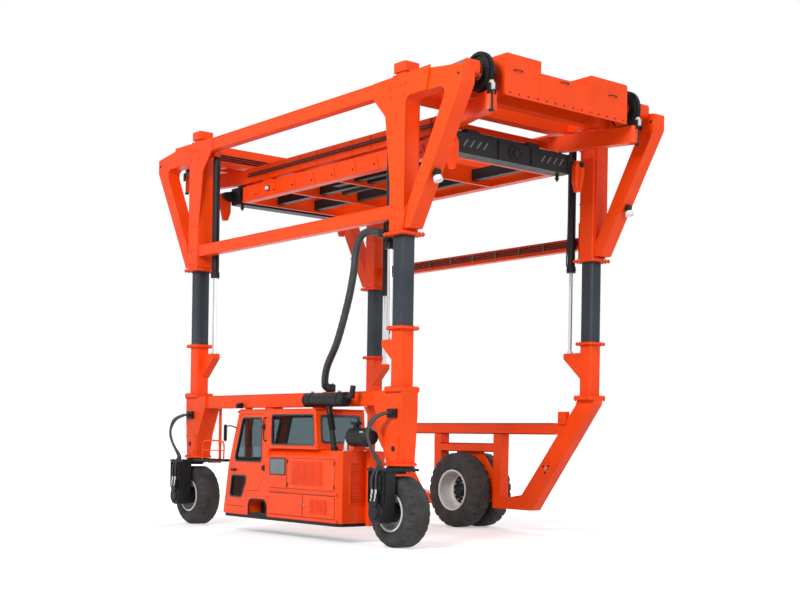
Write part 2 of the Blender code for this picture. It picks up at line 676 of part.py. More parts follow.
def lift_cylinder(name, sx, sy):
    """Barrel with its gland and top eye, hollow for the rod."""
    low, high = BARREL_Z
    bore = ROD_R + CLEAR
    profile = [(0, high), (BARREL_R, high), (BARREL_R, low + 0.12), (BARREL_R + 0.012, low + 0.10),
               (BARREL_R + 0.012, low), (bore, low), (bore, high - 0.10), (0, high - 0.10)]
    x, y = sx * CYL_X, sy * CYL_Y
    solids = [
        turned(profile, Matrix.Translation((x, y, 0)), 16),
        block((x - 0.03, x + 0.03), (y - 0.05, y + 0.05), (high - 0.02, high + 0.06 - GAP)),
    ]
    return smooth(fuse(f"lift_cylinder_{name}", "black_steel", solids))


def crossbeam(end_name, sy):
    """Beam between the leg heads, with the hoist beam and its bearing posts ahead of it."""
    inner = SLEEVE_SIZE / 2 + GAP
    reach = LEG_X - inner
    bracket = BRACKET_X[0] - GAP
    solids = [
        block((-reach, reach), (sy * 2.80, sy * 3.00), (6.52, 6.84)),
        block((-bracket, bracket), (sy * 3.44, sy * 3.62), (6.54, 6.72)),
    ]
    for sx in SIDES.values():
        solids.append(block((sx * 1.30, sx * 1.42), (sy * 2.95, sy * 3.50), (6.56, 6.70)))
        bearing = [(3.50, 6.56), (3.50, 6.86, 0.05), (4.16, 6.90, 0.05), (4.16, 6.70, 0.05), (3.70, 6.56)]
        solids.append(plate(mirrored(bearing, sy), "YZ", (sx * 1.70, sx * bracket)))
    shaft_hole = rod((-2.2, sy * HOIST_Y, HOIST_Z), (2.2, sy * HOIST_Y, HOIST_Z), 0.05 + CLEAR, 20)
    return fuse(f"crossbeam_{end_name}", "orange_paint", solids, [shaft_hole])


def hoist_shaft(end_name, sy):
    """Shaft with a chain pulley at each end."""
    half = [(0, 0.05), (0.09, 0.05), (0.09, 0.028), (PULLEY_R - 0.045, 0.028), (PULLEY_R - 0.035, 0.055),
            (PULLEY_R, 0.055)]
    profile = [*half, (PULLEY_R - 0.02, 0), *[(radius, -height) for radius, height in reversed(half)]]
    centre_y, centre_z = sy * HOIST_Y, HOIST_Z
    solids = [rod((-1.86, centre_y, centre_z), (1.86, centre_y, centre_z), 0.05, 16)]
    for sx in SIDES.values():
        solids.append(turned(profile, Matrix.Translation((sx * PULLEY_X, centre_y, centre_z)) @ ACROSS, 24))
    shaft = smooth(fuse(f"hoist_shaft_{end_name}", "black_steel", solids))
    pivot([shaft], (0, centre_y, centre_z))


def hoist_cover():
    """Sheet cover over the rear hoist: raised at both ends, with a turned-in lip along the bottom."""
    sheet = 0.010
    half = 1.29
    rear, front = -4.24, -3.68
    back = [(-half, 6.47), (half, 6.47), (half, 7.07, 0.03), (0.48, 7.07), (0.48, 6.90), (-0.58, 6.90),
            (-0.58, 7.07), (-half, 7.07, 0.03)]
    inside = [(-half + sheet, 6.4), (half - sheet, 6.4), (half - sheet, 7.06), (0.48 + sheet, 7.06),
              (0.48 + sheet, 6.89), (-0.58 - sheet, 6.89), (-0.58 - sheet, 7.06), (-half + sheet, 7.06)]
    cuts = [
        plate(inside, "XZ", (rear + sheet, front - sheet)),
        plate([(front + 0.1, 6.3), (front - 0.45, 6.3), (front - 0.20, 6.76), (front + 0.1, 6.76)], "YZ",
              (-1.4, 1.4)),
        rod((-1.4, -HOIST_Y, HOIST_Z), (1.4, -HOIST_Y, HOIST_Z), 0.06),
    ]
    return fuse("hoist_cover", "orange_paint", [plate(back, "XZ", (rear, front))], cuts)


# ---------------------------------------------------------------- head frame and spreader
def head_frame():
    """Two long beams whose ends splay out to the chain hooks."""
    z = HEAD_Z
    solids = [block((-1.04, 1.04), (y - 0.07, y + 0.07), (z[0] + 0.02, z[1] - 0.02))
              for y in (-2.55, 0.0, 2.55)]
    for sx in SIDES.values():
        solids.append(block((sx * 1.02, sx * 1.18), (-2.84, 2.84), z))
        for sy in ENDS.values():
            arm = [(1.02, 2.70), (1.18, 2.70), (1.18, 2.90), (HOOK[0] + 0.09, HOOK[1] - 0.05, 0.02),
                   (HOOK[0] + 0.06, HOOK[1] + 0.01, 0.04), (HOOK[0] - 0.08, HOOK[1] + 0.01, 0.04)]
            outline = [(sx * x, sy * y, *rest) for x, y, *rest in arm]
            solids.append(plate(outline, "XY", z))
            solids.append(block((sx * 1.04, sx * 1.16), (sy * 1.9, sy * 2.2), (SPREADER_Z[1] + GAP, z[0] + 0.02)))
    return fuse("head_frame", "orange_paint", solids)


def spreader_frame():
    """Side beams joined by cross plates, which guide the telescopic arms."""
    z = (SPREADER_Z[0] + 0.02, SPREADER_Z[1])
    arm_z = (5.93, 6.11)
    solids = [block((-1.10, 1.10), (y - 0.03, y + 0.03), z) for y in (-2.75, -1.40, 0.0, 1.40, 2.75)]
    cuts = []
    for sx in SIDES.values():
        solids.append(block((sx * 1.06, sx * 1.20), (-2.80, 2.80), z))
        for arm_x, sy in ((FRONT_ARM_X, 1), (REAR_ARM_X, -1)):
            middle = sx * arm_x
            half = 0.06 + CLEAR
            cuts.append(block((middle - half, middle + half), (sy * -0.70, sy * 3.0),
                              (arm_z[0] - CLEAR, arm_z[1] + CLEAR)))
    return fuse("spreader_frame", "orange_paint", solids, cuts)


def spreader_end(end_name, sy, arm_x):
    """Black end beam with its telescopic arms, twistlocks and flipper pins."""
    lug_x, pin_y, pin_z = FLIPPER_PIVOT
    solids = [block((-1.22, 1.22), (sy * END_BEAM_Y[0], sy * END_BEAM_Y[1]), SPREADER_Z)]
    for sx in SIDES.values():
        middle = sx * arm_x
        solids.append(block((middle - 0.06, middle + 0.06), (sy * -0.60, sy * 2.90), (5.93, 6.11)))
        lock = (sx * TWISTLOCK[0], sy * TWISTLOCK[1])
        solids.append(rod((*lock, CONTAINER_TOP_Z - 0.05), (*lock, CONTAINER_TOP_Z + 0.02), 0.028, 12))
        solids.append(rod((*lock, CONTAINER_TOP_Z - 0.10), (*lock, CONTAINER_TOP_Z - 0.045), 0.012, 12, 0.040))
        lug = [(1.16, 6.14), (1.16, 5.90), (1.36, 5.96, 0.03), (1.44, 5.98, 0.03), (1.44, 6.08, 0.03)]
        solids.append(plate(mirrored(lug, sx), "XZ", (sy * 3.07, sy * (3.14 - CLEAR))))
        solids.append(rod((sx * lug_x, sy * 3.10, pin_z), (sx * lug_x, sy * 3.245, pin_z), 0.022, 16))
    item = fuse(f"spreader_end_{end_name}", "black_steel", solids)
    return item


def flipper(name, sx, sy):
    """Corner guide that hangs beside the container and turns up out of the way."""
    x, y, z = FLIPPER_PIVOT
    outline = [(1.30, 6.08, 0.03), (1.45, 6.08, 0.03), (1.45, 5.86), (1.38, 5.58, 0.02), (1.30, 5.58, 0.02),
               (1.245, 5.74), (1.245, 5.98)]
    body = plate(mirrored(outline, sx), "XZ", (sy * 3.14, sy * 3.22))
    hole = rod((sx * x, sy * 3.0, z), (sx * x, sy * 3.3, z), 0.022 + CLEAR, 16)
    item = fuse(f"flipper_{name}", "orange_paint", [body], [hole])
    pivot([item], (sx * x, sy * y, z))


# ---------------------------------------------------------------- umbilical hose
HOSE_R = 0.0575
HOSE_STOPS = [(-2.150, -2.56, 4.60), (-2.180, -2.33, 4.655), (-2.200, -2.13, 4.60), (-2.215, -2.03, 4.38),
              (-2.220, -1.98, 4.05), (-2.215, -1.84, 3.62), (-2.200, -1.57, 3.06), (-2.170, -1.27, 2.68),
              (-2.120, -1.15, 2.42), (-2.060, -1.15, 2.352)]


def umbilical_hose():
    route = smooth_route(HOSE_STOPS, 0.17)
    return smooth(fuse("umbilical_hose", "hose_rubber", [hose(route, HOSE_R)]))


# ---------------------------------------------------------------- the whole machine
clear_scene()
PIECES = collection("straddle_carrier")
TOOLS = collection("cutters")

left_lower_frame()
right_lower_frame()
engine_floor()
cab_shell()
cab_door()
cab_seat()
engine_hood()
engine_block()
exhaust_silencer()
air_cleaner()
twin_wheel()
hoist_cover()
head_frame()
spreader_frame()
umbilical_hose()
for side, side_sign in SIDES.items():
    upper_frame(side, side_sign)
for end, end_sign in ENDS.items():
    steered_wheel(end, end_sign)
    crossbeam(end, end_sign)
    hoist_shaft(end, end_sign)
    spreader_end(end, end_sign, FRONT_ARM_X if end == "front" else REAR_ARM_X)
    for side, side_sign in SIDES.items():
        corner = f"{end}_{side}"
        lower_leg(corner, side_sign, end_sign)
        mast(corner, side_sign, end_sign)
        lift_rod(corner, side_sign, end_sign)
        lift_cylinder(corner, side_sign, end_sign)
        flipper(corner, side_sign, end_sign)
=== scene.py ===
"""Looks of a straddle carrier: finishes, panes, hoses, chains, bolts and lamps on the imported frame."""

import json
import math

import bmesh
import bpy
from mathutils import Matrix, Vector

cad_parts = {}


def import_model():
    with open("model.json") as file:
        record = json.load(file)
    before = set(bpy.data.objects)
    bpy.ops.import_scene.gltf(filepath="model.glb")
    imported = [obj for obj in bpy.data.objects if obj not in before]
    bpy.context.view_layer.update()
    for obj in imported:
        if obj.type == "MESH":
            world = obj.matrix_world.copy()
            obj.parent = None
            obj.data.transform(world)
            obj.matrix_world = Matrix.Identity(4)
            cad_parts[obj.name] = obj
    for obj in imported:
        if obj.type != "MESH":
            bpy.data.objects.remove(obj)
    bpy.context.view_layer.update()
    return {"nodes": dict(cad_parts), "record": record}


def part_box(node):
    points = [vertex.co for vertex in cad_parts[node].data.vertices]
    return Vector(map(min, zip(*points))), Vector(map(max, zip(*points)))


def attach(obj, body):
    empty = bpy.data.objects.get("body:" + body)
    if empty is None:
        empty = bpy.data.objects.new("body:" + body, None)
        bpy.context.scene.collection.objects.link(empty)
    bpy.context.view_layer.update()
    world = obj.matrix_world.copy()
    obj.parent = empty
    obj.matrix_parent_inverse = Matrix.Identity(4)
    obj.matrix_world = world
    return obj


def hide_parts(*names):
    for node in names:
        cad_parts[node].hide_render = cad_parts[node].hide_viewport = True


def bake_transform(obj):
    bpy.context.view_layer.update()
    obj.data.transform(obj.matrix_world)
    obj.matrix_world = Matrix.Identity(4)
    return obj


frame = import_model()

SIDES = {"left": -1, "right": 1}
ENDS = {"front": 1, "rear": -1}


# ---------------------------------------------------------------- materials
def node_material(name):
    made = bpy.data.materials.new(name)
    made.use_nodes = True
    nodes = made.node_tree.nodes
    return made, nodes, made.node_tree.links, nodes["Principled BSDF"]


def object_noise(nodes, links, scale, detail=4.0, stretch=(1, 1, 1)):
    """Noise in the object's own coordinates, so that it stays put in every view."""
    place = nodes.new("ShaderNodeTexCoord")
    mapping = nodes.new("ShaderNodeMapping")
    mapping.inputs["Scale"].default_value = stretch
    noise = nodes.new("ShaderNodeTexNoise")
    noise.inputs["Scale"].default_value = scale
    noise.inputs["Detail"].default_value = detail
    links.new(place.outputs["Object"], mapping.inputs["Vector"])
    links.new(mapping.outputs["Vector"], noise.inputs["Vector"])
    return noise.outputs["Fac"]


def ramp(nodes, links, source, low, high, start=0.35, end=0.65):
    """Turns a factor into a colour between two colours."""
    made = nodes.new("ShaderNodeValToRGB")
    made.color_ramp.elements[0].position = start
    made.color_ramp.elements[0].color = (*low, 1)
    made.color_ramp.elements[1].position = end
    made.color_ramp.elements[1].color = (*high, 1)
    links.new(source, made.inputs["Fac"])
    return made.outputs["Color"]


def shade(colour, factor):
    return tuple(channel * factor for channel in colour)


def bump(nodes, links, shader, height, strength, distance, edge=0.0):
    """Bump from a height, over edges rounded by a bevel where there is one."""
    made = nodes.new("ShaderNodeBump")
    made.inputs["Strength"].default_value = strength
    made.inputs["Distance"].default_value = distance
    links.new(height, made.inputs["Height"])
    if edge:
        bevel = nodes.new("ShaderNodeBevel")
        bevel.samples = 4
        bevel.inputs["Radius"].default_value = edge
        links.new(bevel.outputs["Normal"], made.inputs["Normal"])
    links.new(made.outputs["Normal"], shader.inputs["Normal"])


def paint(name, colour, roughness=0.35, variation=0.12, edge=0.006, metallic=0.0, coat=0.0):
    """Sprayed paint: slight colour and gloss variation, orange peel and rounded edges."""
    made, nodes, links, shader = node_material(name)
    cloud = object_noise(nodes, links, 1.7, 6)
    links.new(ramp(nodes, links, cloud, shade(colour, 1 - variation), colour), shader.inputs["Base Color"])
    rough = nodes.new("ShaderNodeMapRange")
    rough.inputs["To Min"].default_value = roughness - 0.05
    rough.inputs["To Max"].default_value = roughness + 0.12
    links.new(object_noise(nodes, links, 6.0, 5), rough.inputs["Value"])
    links.new(rough.outputs["Result"], shader.inputs["Roughness"])
    shader.inputs["Metallic"].default_value = metallic
    shader.inputs["Specular IOR Level"].default_value = 0.2
    shader.inputs["Coat Weight"].default_value = coat
    shader.inputs["Coat Roughness"].default_value = 0.15
    bump(nodes, links, shader, object_noise(nodes, links, 220.0, 2), 0.12, 0.002, edge)
    return made


def metal(name, colour, roughness, brush=(1, 1, 1), scale=40.0):
    """Bare metal with fine brushing along one axis."""
    made, nodes, links, shader = node_material(name)
    grain = object_noise(nodes, links, scale, 5, brush)
    links.new(ramp(nodes, links, grain, shade(colour, 0.85), colour), shader.inputs["Base Color"])
    shader.inputs["Metallic"].default_value = 1.0
    shader.inputs["Roughness"].default_value = roughness
    bump(nodes, links, shader, grain, 0.10, 0.001)
    return made


def rubber(name, colour, roughness=0.85, dust=0.25):
    made, nodes, links, shader = node_material(name)
    dusty = tuple(channel + dust * 0.12 for channel in colour)
    cloud = object_noise(nodes, links, 5.0, 7)
    links.new(ramp(nodes, links, cloud, colour, dusty, 0.4, 0.75), shader.inputs["Base Color"])
    shader.inputs["Roughness"].default_value = roughness
    bump(nodes, links, shader, object_noise(nodes, links, 90.0, 5), 0.25, 0.003)
    return made


def glass(name):
    made, nodes, links, shader = node_material(name)
    shader.inputs["Base Color"].default_value = (0.32, 0.38, 0.40, 1)
    shader.inputs["Roughness"].default_value = 0.03
    shader.inputs["Transmission Weight"].default_value = 1.0
    shader.inputs["IOR"].default_value = 1.1
    smear = object_noise(nodes, links, 3.0, 6)
    bump(nodes, links, shader, smear, 0.02, 0.002)
    return made


ORANGE = (0.93, 0.066, 0.002)
MATERIAL = {
    "orange_paint": paint("orange_paint", ORANGE, 0.40, coat=0.08),
    "cab_paint": paint("cab_paint", ORANGE, 0.34, coat=0.12),
    "mast_steel": paint("mast_steel", (0.040, 0.050, 0.060), 0.34, 0.25, metallic=0.4),
    "chrome": metal("chrome", (0.75, 0.76, 0.78), 0.12, (60, 60, 1)),
    "black_steel": paint("black_steel", (0.014, 0.015, 0.017), 0.42, 0.3),
    "grey_steel": paint("grey_steel", (0.17, 0.20, 0.21), 0.45, 0.25),
    "tyre_rubber": rubber("tyre_rubber", (0.022, 0.021, 0.020)),
    "rim_paint": paint("rim_paint", (0.72, 0.72, 0.70), 0.45, 0.18),
    "hose_rubber": rubber("hose_rubber", (0.012, 0.012, 0.013), 0.5, 0.1),
    "seat_vinyl": rubber("seat_vinyl", (0.02, 0.02, 0.022), 0.6, 0.1),
    "engine_iron": paint("engine_iron", (0.08, 0.08, 0.085), 0.6, 0.3),
    "glass": glass("glass"),
    "bright_steel": metal("bright_steel", (0.55, 0.56, 0.58), 0.30),
    "lamp_lens": paint("lamp_lens", (0.85, 0.86, 0.88), 0.12, 0.05, 0.0),
    "dark_plastic": rubber("dark_plastic", (0.03, 0.03, 0.032), 0.5, 0.1),
}

for part in frame["record"]["subparts"]:
    node = frame["nodes"][part["node"]]
    node.data.materials.clear()
    node.data.materials.append(MATERIAL[part["material_slot"]])
    node.data.shade_smooth()
    node.data.set_sharp_from_angle(angle=math.radians(30))


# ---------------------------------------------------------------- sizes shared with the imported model
LEG_X, LEG_Y = 2.0, 2.9
STEER_Z, STEER_RIM_R = 0.52, 0.29     # axle height and rim radius of the steered wheels
TWIN_Z, TWIN_RIM_R = 0.675, 0.37      # and of the twin wheel
CYL_X, CYL_Y = 1.94, 2.50             # lift cylinders
LOW_FLANGE = (2.27, 2.33, 0.385)      # lowest and highest face, and size
MAST_FLANGE = (3.18, 3.21, 0.365)
SLEEVE_FLANGE = (4.545, 4.575, 0.45)
FOOT_DISC = (1.225, 0.215)            # top face and bolt circle radius
HOIST_Y, HOIST_Z = 3.97, 6.78
PULLEY_R, PULLEY_X = 0.27, 1.55
HOOK_Y = 4.24                         # where the chains meet the head frame
HOOD_TOP_Z = 1.39
HOOD_REAR_Y = -2.00


# ---------------------------------------------------------------- mesh kit
def smooth_route(stops, spacing):
    """Points a set way apart on a smooth curve through the stops (Catmull-Rom)."""
    stops = [Vector(stop) for stop in stops]
    padded = [2 * stops[0] - stops[1], *stops, 2 * stops[-1] - stops[-2]]
    fine = []
    for a, b, c, d in zip(padded, padded[1:], padded[2:], padded[3:]):
        for step in range(20):
            t = step / 20
            fine.append(0.5 * (2 * b + (c - a) * t + (2 * a - 5 * b + 4 * c - d) * t * t
                               + (3 * b - a - 3 * c + d) * t ** 3))
    fine.append(stops[-1])
    route = [fine[0]]
    for point in fine:
        if (point - route[-1]).length >= spacing:
            route.append(point)
    if (fine[-1] - route[-1]).length < spacing / 2:
        route.pop()
    return [*route, fine[-1]]


def along(start, end):
    """A frame at start whose Z axis runs to end."""
    way = Vector(end) - Vector(start)
    return Matrix.Translation(start) @ way.to_track_quat("Z", "Y").to_matrix().to_4x4()


PLANES = {
    # local x, y and z of a flat outline as world axes
    "YZ": Matrix(((0, 0, 1, 0), (1, 0, 0, 0), (0, 1, 0, 0), (0, 0, 0, 1))),
    "XZ": Matrix(((1, 0, 0, 0), (0, 0, -1, 0), (0, 1, 0, 0), (0, 0, 0, 1))),
    "XY": Matrix.Identity(4),
}


def rounded(points, steps=4):
    """Corner points (u, v) or (u, v, radius); a radius becomes an arc of short sides."""
    outline = []
    count = len(points)
    for index, point in enumerate(points):
        corner = Vector(point[:2])
        radius = point[2] if len(point) > 2 else 0
        if not radius:
            outline.append(corner)
            continue
        back = (Vector(points[index - 1][:2]) - corner).normalized()
        ahead = (Vector(points[(index + 1) % count][:2]) - corner).normalized()
        half = back.angle(ahead) / 2
        centre = corner + (back + ahead).normalized() * (radius / math.sin(half))
        first = corner + back * (radius / math.tan(half)) - centre
        last = corner + ahead * (radius / math.tan(half)) - centre
        turn = first.angle_signed(last)
        for step in range(steps + 1):
            arm = first.copy()
            arm.rotate(Matrix.Rotation(-turn * step / steps, 2))
            outline.append(centre + arm)
    return outline


def rect(u, v, radius=0.0):
    """A rectangle between limits on both axes, with rounded corners."""
    return [(u[0], v[0], radius), (u[1], v[0], radius), (u[1], v[1], radius), (u[0], v[1], radius)]


def inset(points, distance):
    """The outline moved inwards by a distance, corner by corner."""
    flat_points = [Vector(point[:2]) for point in points]
    count = len(flat_points)
    area = sum(a.x * b.y - b.x * a.y for a, b in zip(flat_points, flat_points[1:] + flat_points[:1]))
    turn = 1 if area > 0 else -1
    moved = []
    for index, corner in enumerate(flat_points):
        back = (corner - flat_points[index - 1]).normalized()
        ahead = (flat_points[(index + 1) % count] - corner).normalized()
        normals = [Vector((-way.y, way.x)) * turn for way in (back, ahead)]
        bisector = (normals[0] + normals[1]).normalized()
        shift = bisector * (distance / bisector.dot(normals[0]))
        moved.append((*(corner + shift), *points[index][2:]))
    return moved


class Kit:
    """Gathers many small solids into one mesh, which becomes one piece."""

    def __init__(self):
        self.shape = bmesh.new()

    def box(self, x, y, z, bevel=0.0, turn=None):
        """A box between limits, its edges bevelled, turned about its middle by a matrix."""
        low = Vector([min(pair) for pair in (x, y, z)])
        high = Vector([max(pair) for pair in (x, y, z)])
        middle = Matrix.Translation((low + high) / 2)
        place = middle @ (turn or Matrix.Identity(4)) @ Matrix.Diagonal((*(high - low), 1))
        made = bmesh.ops.create_cube(self.shape, size=1, matrix=place)
        if bevel:
            edges = {edge for vert in made["verts"] for edge in vert.link_edges}
            bmesh.ops.bevel(self.shape, geom=list(edges), offset=bevel, segments=2, affect="EDGES",
                            clamp_overlap=True)
        return self

    def rod(self, start, end, radius, sides=20, end_radius=None, bevel=0.0):
        length = (Vector(end) - Vector(start)).length
        made = bmesh.ops.create_cone(
            self.shape, cap_ends=True, segments=sides, radius1=radius, depth=length,
            radius2=radius if end_radius is None else end_radius,
            matrix=along(start, end) @ Matrix.Translation((0, 0, length / 2)))
        if bevel:
            edges = {edge for vert in made["verts"] for edge in vert.link_edges
                     if sum(len(face.verts) > 4 for face in edge.link_faces)}
            bmesh.ops.bevel(self.shape, geom=list(edges), offset=bevel, segments=2, affect="EDGES",
                            clamp_overlap=True)
        return self

    def bolt(self, place, way, radius=0.014, height=0.014):
        """A hexagon head on its washer, standing on a face."""
        place, way = Vector(place), Vector(way)
        self.rod(place, place + way * 0.004, radius * 1.45, 12)
        self.rod(place + way * 0.003, place + way * height, radius, 6, bevel=radius * 0.12)
        return self

    def outline(self, points, plane, limits, bevel=0.0):
        """A flat outline in YZ, XZ or XY between two limits on the third axis."""
        low, high = sorted(limits)
        ring = rounded(points)
        verts = [[self.shape.verts.new(PLANES[plane] @ Vector((*point, level))) for point in ring]
                 for level in ((low, high) if plane != "XZ" else (-high, -low))]
        faces = [self.shape.faces.new(list(reversed(verts[0]))), self.shape.faces.new(verts[1])]
        for k in range(len(ring)):
            after = (k + 1) % len(ring)
            faces.append(self.shape.faces.new((verts[0][k], verts[0][after], verts[1][after], verts[1][k])))
        bmesh.ops.recalc_face_normals(self.shape, faces=faces)
        if bevel:
            edges = {edge for face in faces[:2] for edge in face.edges}
            bmesh.ops.bevel(self.shape, geom=list(edges), offset=bevel, segments=2, affect="EDGES",
                            clamp_overlap=True)
        return self

    def frame(self, points, plane, limits, width):
        """A flat ring that follows an outline, as a seal or a bezel does."""
        low, high = sorted(limits)
        loops = []
        for ring in (rounded(points), rounded(inset(points, width))):
            for level in (low, high):
                depth = -level if plane == "XZ" else level
                loops.append([self.shape.verts.new(PLANES[plane] @ Vector((*p, depth))) for p in ring])
        outer_low, outer_high, inner_low, inner_high = loops
        faces = []
        for first, second in ((outer_low, outer_high), (outer_high, inner_high),
                              (inner_high, inner_low), (inner_low, outer_low)):
            for k in range(len(first)):
                after = (k + 1) % len(first)
                faces.append(self.shape.faces.new((first[k], first[after], second[after], second[k])))
        bmesh.ops.recalc_face_normals(self.shape, faces=faces)
        return self

    def turned(self, profile, place, steps=48):
        """A closed profile of (radius, height) turned about local Z."""
        rings = []
        for k in range(steps):
            turn = 2 * math.pi * k / steps
            rings.append([self.shape.verts.new(place @ Vector((r * math.cos(turn), r * math.sin(turn), h)))
                          for r, h in profile])
        faces = []
        for k in range(steps):
            first, second = rings[k], rings[(k + 1) % steps]
            for i in range(len(profile)):
                after = (i + 1) % len(profile)
                corners = (first[i], first[after], second[after], second[i])
                faces.append(self.shape.faces.new(corners))
        bmesh.ops.remove_doubles(self.shape, verts=[v for ring in rings for v in ring], dist=0.00001)
        bmesh.ops.recalc_face_normals(self.shape, faces=[face for face in faces if face.is_valid])
        return self

    def tube(self, route, radius, sides=10):
        """A round tube along a route with closed ends; radius may be a function of the length."""
        rings = []
        normal = None
        length = 0.0
        for index, point in enumerate(route):
            ahead = route[min(index + 1, len(route) - 1)] - route[max(index - 1, 0)]
            ahead.normalize()
            if index:
                length += (point - route[index - 1]).length
            if normal is None:
                normal = ahead.orthogonal().normalized()
            normal = (normal - ahead * normal.dot(ahead)).normalized()
            side = ahead.cross(normal)
            size = radius(length) if callable(radius) else radius
            rings.append([
                self.shape.verts.new(point + (normal * math.cos(turn) + side * math.sin(turn)) * size)
                for turn in (2 * math.pi * k / sides for k in range(sides))])
        faces = [self.shape.faces.new(list(reversed(rings[0]))), self.shape.faces.new(rings[-1])]
        for first, second in zip(rings, rings[1:]):
            for k in range(sides):
                after = (k + 1) % sides
                faces.append(self.shape.faces.new((first[k], first[after], second[after], second[k])))
        bmesh.ops.recalc_face_normals(self.shape, faces=faces)
        return self

    def pipe(self, stops, radius, sides=10, spacing=0.03):
        """A hose or pipe on one smooth curve through the stops."""
        return self.tube(smooth_route(stops, spacing), radius, sides)

    def run(self, x, stops, z, radius, sides=8, spacing=0.20):
        """A straight pipe parallel to the Y axis."""
        return self.pipe([(x, y, z) for y in stops], radius, sides, spacing)

    def piece(self, name, body, slot, sharp=35):
        """The gathered mesh becomes a piece that rides on a body."""
        mesh = bpy.data.meshes.new(name)
        self.shape.to_mesh(mesh)
        self.shape.free()
        mesh.shade_smooth()
        mesh.set_sharp_from_angle(angle=math.radians(sharp))
        mesh.materials.append(MATERIAL[slot])
        made = bpy.data.objects.new(name, mesh)
        bpy.context.scene.collection.objects.link(made)
        if body:
            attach(made, body)
        return made


ACROSS = Matrix.Rotation(math.pi / 2, 4, "Y")      # turned pieces whose axis lies along X


def circle(centre, axis, radius, count, start=0.0):
    """Places evenly round a circle about the X, Y or Z axis, from a share of one step onwards."""
    first, second = {"X": (1, 2), "Y": (0, 2), "Z": (0, 1)}[axis]
    for step in range(count):
        turn = 2 * math.pi * (step + start) / count
        place = Vector(centre)
        place[first] += radius * math.cos(turn)
        place[second] += radius * math.sin(turn)
        yield place


# ---------------------------------------------------------------- bolts
def square_ring(size, margin, count):
    """Places on a square ring, count along each side."""
    reach = size / 2 - margin
    steps = [-reach + 2 * reach * k / count for k in range(count)]
    return [place for s in steps for place in ((s, -reach), (reach, s), (-s, reach), (-reach, -s))]


def flange_bolts():
    """Bolts through every flange of the legs, a head above and a nut below."""
    fixed, lifted = Kit(), Kit()
    up, down = (0, 0, 1), (0, 0, -1)
    for sx in SIDES.values():
        for sy in ENDS.values():
            x, y = sx * LEG_X, sy * LEG_Y
            for kit, (low, high, size), count in (
                    (fixed, LOW_FLANGE, 6), (fixed, MAST_FLANGE, 5), (lifted, SLEEVE_FLANGE, 6)):
                for u, v in square_ring(size, 0.030, count):
                    kit.bolt((x + u, y + v, high), up, 0.015, 0.018)
                    kit.bolt((x + u, y + v, low), down, 0.015, 0.016)
    top, radius = FOOT_DISC
    for sy in ENDS.values():
        for place in circle((-LEG_X, sy * LEG_Y, top), "Z", radius, 20):
            fixed.bolt(place, up, 0.013, 0.016)
    fixed.piece("flange_bolts_lower", "chassis", "orange_paint")
    lifted.piece("flange_bolts_upper", "upper_frame", "orange_paint")


def bracket_bolts():
    """Bolt rows on the outer gussets and the fish plates of the upper frame."""
    kit = Kit()
    for sx in SIDES.values():
        way = (sx, 0, 0)
        face = sx * 2.162
        for sy in ENDS.values():
            rows = [(2.72, 6.70), (2.84, 6.70), (2.96, 6.70), (3.08, 6.70), (2.76, 6.55), (3.02, 6.55),
                    (2.84, 5.34), (2.96, 5.34), (2.86, 4.90), (2.98, 4.90), (2.88, 4.66), (3.00, 4.66)]
            for y, z in rows:
                kit.bolt((face, sy * y, z), way, 0.013, 0.014)
            # bolted joint of the slanting brace, half way up
            for y, z in ((3.34, 5.24), (3.40, 5.36), (3.44, 5.22), (3.50, 5.34)):
                kit.bolt((sx * 2.138, sy * y, z), way, 0.013, 0.014)
    kit.piece("bracket_bolts", "upper_frame", "orange_paint")


# ---------------------------------------------------------------- wheels
def tyre_mesh(outer, inner, width, lugs, reach, depth):
    """A heavy tyre: side lugs notched into the shoulders, with a bead beside the rim."""
    half = width / 2
    wall = outer - inner
    profile = [
        # radius, height, how much a notch cuts in here
        (outer, 0.0, 0.0), (outer, half * reach * 0.98, 0.0), (outer, half * reach, 1.0),
        (outer - 0.006, half * 0.66, 1.0), (outer - 0.030, half * 0.84, 1.0),
        (outer - wall * 0.26, half * 0.955, 0.8), (outer - wall * 0.30, half * 0.965, 0.0),
        (outer - wall * 0.34, half * 0.985, 0.0), (outer - wall * 0.52, half, 0.0),
        (inner + wall * 0.22, half * 0.985, 0.0), (inner + wall * 0.16, half * 0.94, 0.0),
        (inner + wall * 0.10, half * 0.955, 0.0), (inner, half * 0.90, 0.0)]
    mirrored = [(radius, -height, cut) for radius, height, cut in profile[1:]]
    section = [*reversed(mirrored), *profile]
    bore = [(inner - 0.0005, half * 0.90), (inner - 0.0005, -half * 0.90)]
    steps = lugs * 6
    kit = Kit()
    rings = []
    for k in range(steps):
        turn = 2 * math.pi * k / steps
        notch = {0: 1.0, 1: 1.0}.get(k % 6, 0.0)
        other = {3: 1.0, 4: 1.0}.get(k % 6, 0.0)
        ring = []
        for radius, height, cut in section:
            low = radius - depth * cut * (notch if height > 0 else other)
            ring.append(kit.shape.verts.new((low * math.cos(turn), low * math.sin(turn), height)))
        for radius, height in bore:
            ring.append(kit.shape.verts.new((radius * math.cos(turn), radius * math.sin(turn), height)))
        rings.append(ring)
    count = len(rings[0])
    for k in range(steps):
        first, second = rings[k], rings[(k + 1) % steps]
        for i in range(count):
            after = (i + 1) % count
            kit.shape.faces.new((first[i], first[after], second[after], second[i]))
    bmesh.ops.recalc_face_normals(kit.shape, faces=kit.shape.faces)
    return kit


